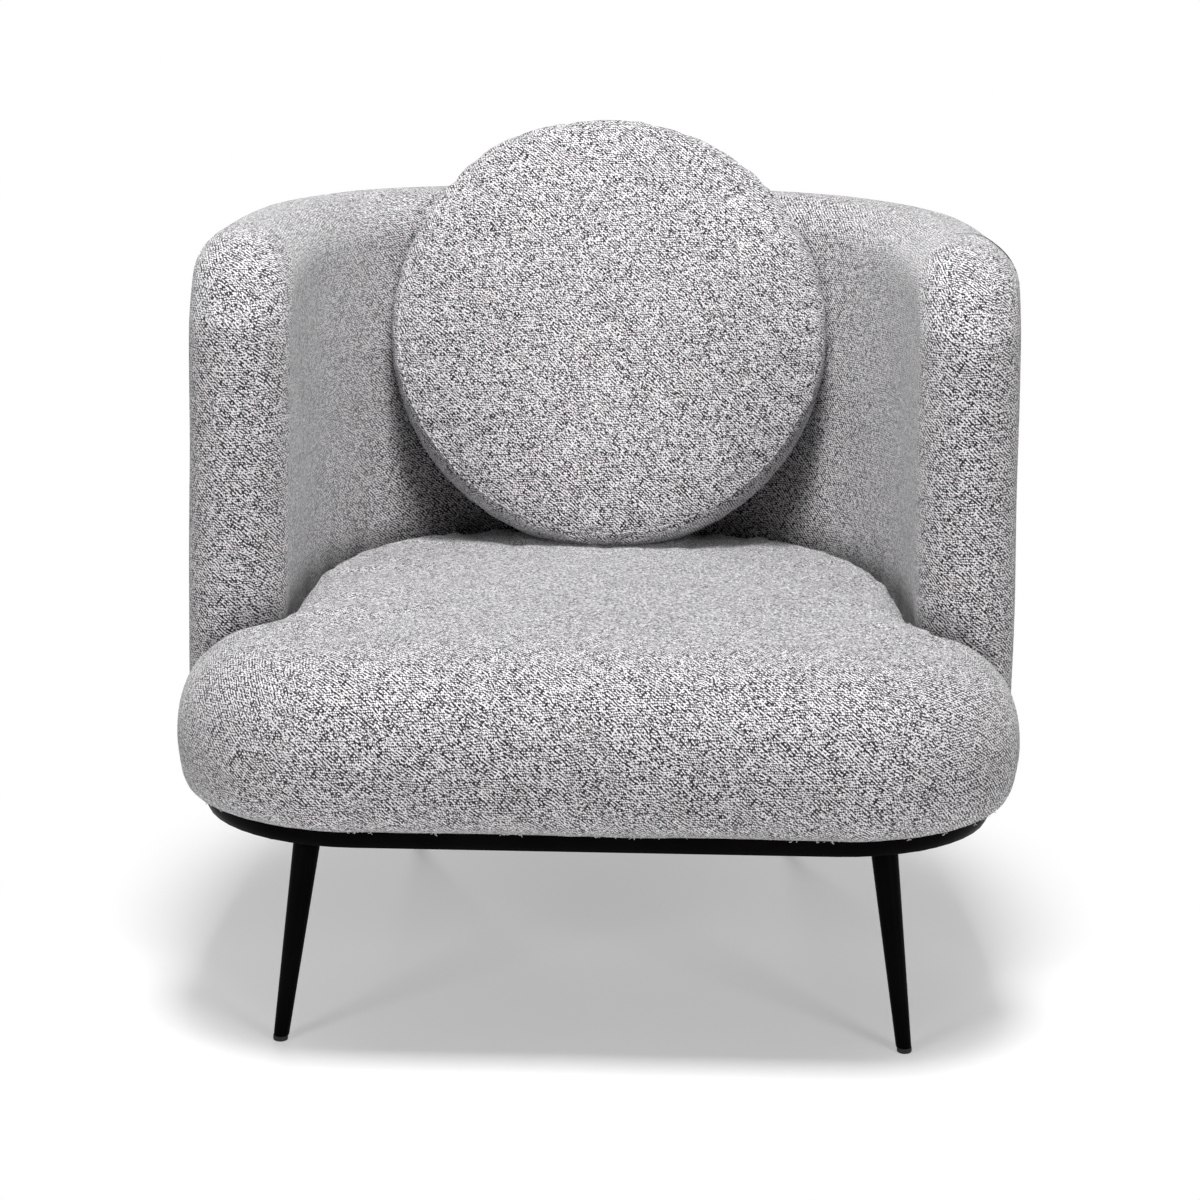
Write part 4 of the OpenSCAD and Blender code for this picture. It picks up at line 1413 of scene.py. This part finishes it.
def finishes() -> dict[str, Material]:
    """Builds the finish of each CAD node that keeps its shape.

    Returns:
        The materials by node.
    """
    table = {
        PaintFinish("leg_satin_black", (0.0010, 0.0010, 0.0011), 0.42, 0.015):
            (*LEGS, "leg_plates"),
        PaintFinish("base_satin_black", (0.0008, 0.0008, 0.0009), 0.36, 0.018): ("base_panel",),
        PaintFinish("glide_plastic", (0.012, 0.012, 0.013), 0.55, 0.3, 400): ("foot_glides",),
        MetalFinish("screw_steel", (0.52, 0.52, 0.54)): ("leg_screws", "frame_screws"),
        MetalFinish("insert_brass", (0.78, 0.58, 0.30)): ("base_inserts",),
        MetalFinish("zip_nickel", (0.60, 0.59, 0.57), 0.26): ("zip_slider",),
        WoodFinish("frame_beech", (0.62, 0.42, 0.25), (0.44, 0.27, 0.14)):
            ("seat_front_rail", "seat_rear_rail", "seat_side_rails", "seat_corner_blocks",
             "tub_bottom_rail", "tub_top_rail", "arm_front_posts", "tub_posts"),
        WoodFinish("board_birch", (0.66, 0.50, 0.32), (0.50, 0.34, 0.19), 180):
            ("tub_outer_board", "tub_inner_board"),
        BandFinish("elastic_webbing", (0.34, 0.27, 0.19), (0.05, 0.045, 0.04), Weave.WEBBING,
                   3 * MM): ("seat_straps_lengthwise", "seat_straps_crosswise"),
        BandFinish("zip_tape", (0.06, 0.06, 0.065), (0.015, 0.015, 0.017), Weave.TAPE,
                   0.9 * MM): ("cushion_zip",)}
    built = {finish.build(): nodes for finish, nodes in table.items()}
    return {node: material for material, nodes in built.items() for node in nodes}


def fibres(tub: Object, seat: Object, yarn: Material, hem: float) -> None:
    """Sets loose fibres along the hems and along the crest that the seat has before the tub.

    Args:
        tub: The tub's cover.
        seat: The seat's cover.
        yarn: The fibres' finish.
        hem: Height of the hems.
    """
    tree, crest, near, front = cad_tree("tub_cover"), 0.3, 22 * MM, -0.22

    def low(place: Vector, normal: Vector, rise: float) -> bool:
        """Tells whether a place is within a rise of the hem and not on the underside."""
        return hem + 0.5 * MM < place.z < hem + rise and normal.z > -0.9

    HemFibres("seat_hem_fibres", yarn).build(
        seat, lambda p, n: low(p, n, 7 * MM) and p.y < front)
    HemFibres("seat_crest_fibres", yarn, 80, 3 * MM, 0.6, 13).build(
        seat, lambda p, n: p.z > crest and n.z > 0.3 and (tree.find_nearest(p)[3] or 0) < near)
    HemFibres("tub_hem_fibres", yarn, 90, seed=12).build(
        tub, lambda p, n: low(p, n, 12 * MM) and n.x * p.x + n.y * p.y > 0)


def main() -> None:
    """Builds the studio and the chair's pieces in order."""
    logging.basicConfig(level=logging.INFO, format="%(message)s", stream=sys.stdout)
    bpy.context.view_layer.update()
    Studio().build()
    hard = finishes()
    HardParts(hard).build()
    tweed = TweedFinish().build()
    foam = FoamFinish("cushion_foam", (0.72, 0.66, 0.45)).build()
    fibre = FoamFinish("fibre_filling", (0.86, 0.86, 0.85), 350).build()
    yarn = ThreadFinish("pale_yarn", (0.80, 0.79, 0.80)).build()
    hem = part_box("seat_cover")[0].z
    tub, seat = Tub(tweed, hem).build(), Seat(tweed, hem).build()
    RoundCushion(tweed, yarn, *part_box("cushion_filling")).build()
    fibres(tub, seat, yarn, hem)
    Zip(hard["cushion_zip"], hard["zip_slider"]).build()
    for node, rests_on in (("seat_straps_lengthwise", ("seat_front_rail", "seat_rear_rail")),
                           ("seat_straps_crosswise", ("seat_side_rails",
                                                      "seat_straps_lengthwise_3"))):
        Straps(node, hard[node], rests_on).build()
    for node in ("left_arm_foam", "right_arm_foam", "back_foam", "seat_foam"):
        Stuffing(node.replace("foam", "padding"), node, CHAIR, foam).build()
    Stuffing("cushion_stuffing", "cushion_filling", CUSHION, fibre, 10 * MM, 7 * MM).build()


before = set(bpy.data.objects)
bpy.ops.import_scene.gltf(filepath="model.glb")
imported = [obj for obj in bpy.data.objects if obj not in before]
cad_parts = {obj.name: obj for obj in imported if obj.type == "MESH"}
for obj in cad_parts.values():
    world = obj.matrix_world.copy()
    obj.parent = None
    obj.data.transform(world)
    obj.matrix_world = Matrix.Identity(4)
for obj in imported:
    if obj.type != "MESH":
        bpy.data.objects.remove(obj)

if __name__ == "__main__":
    main()
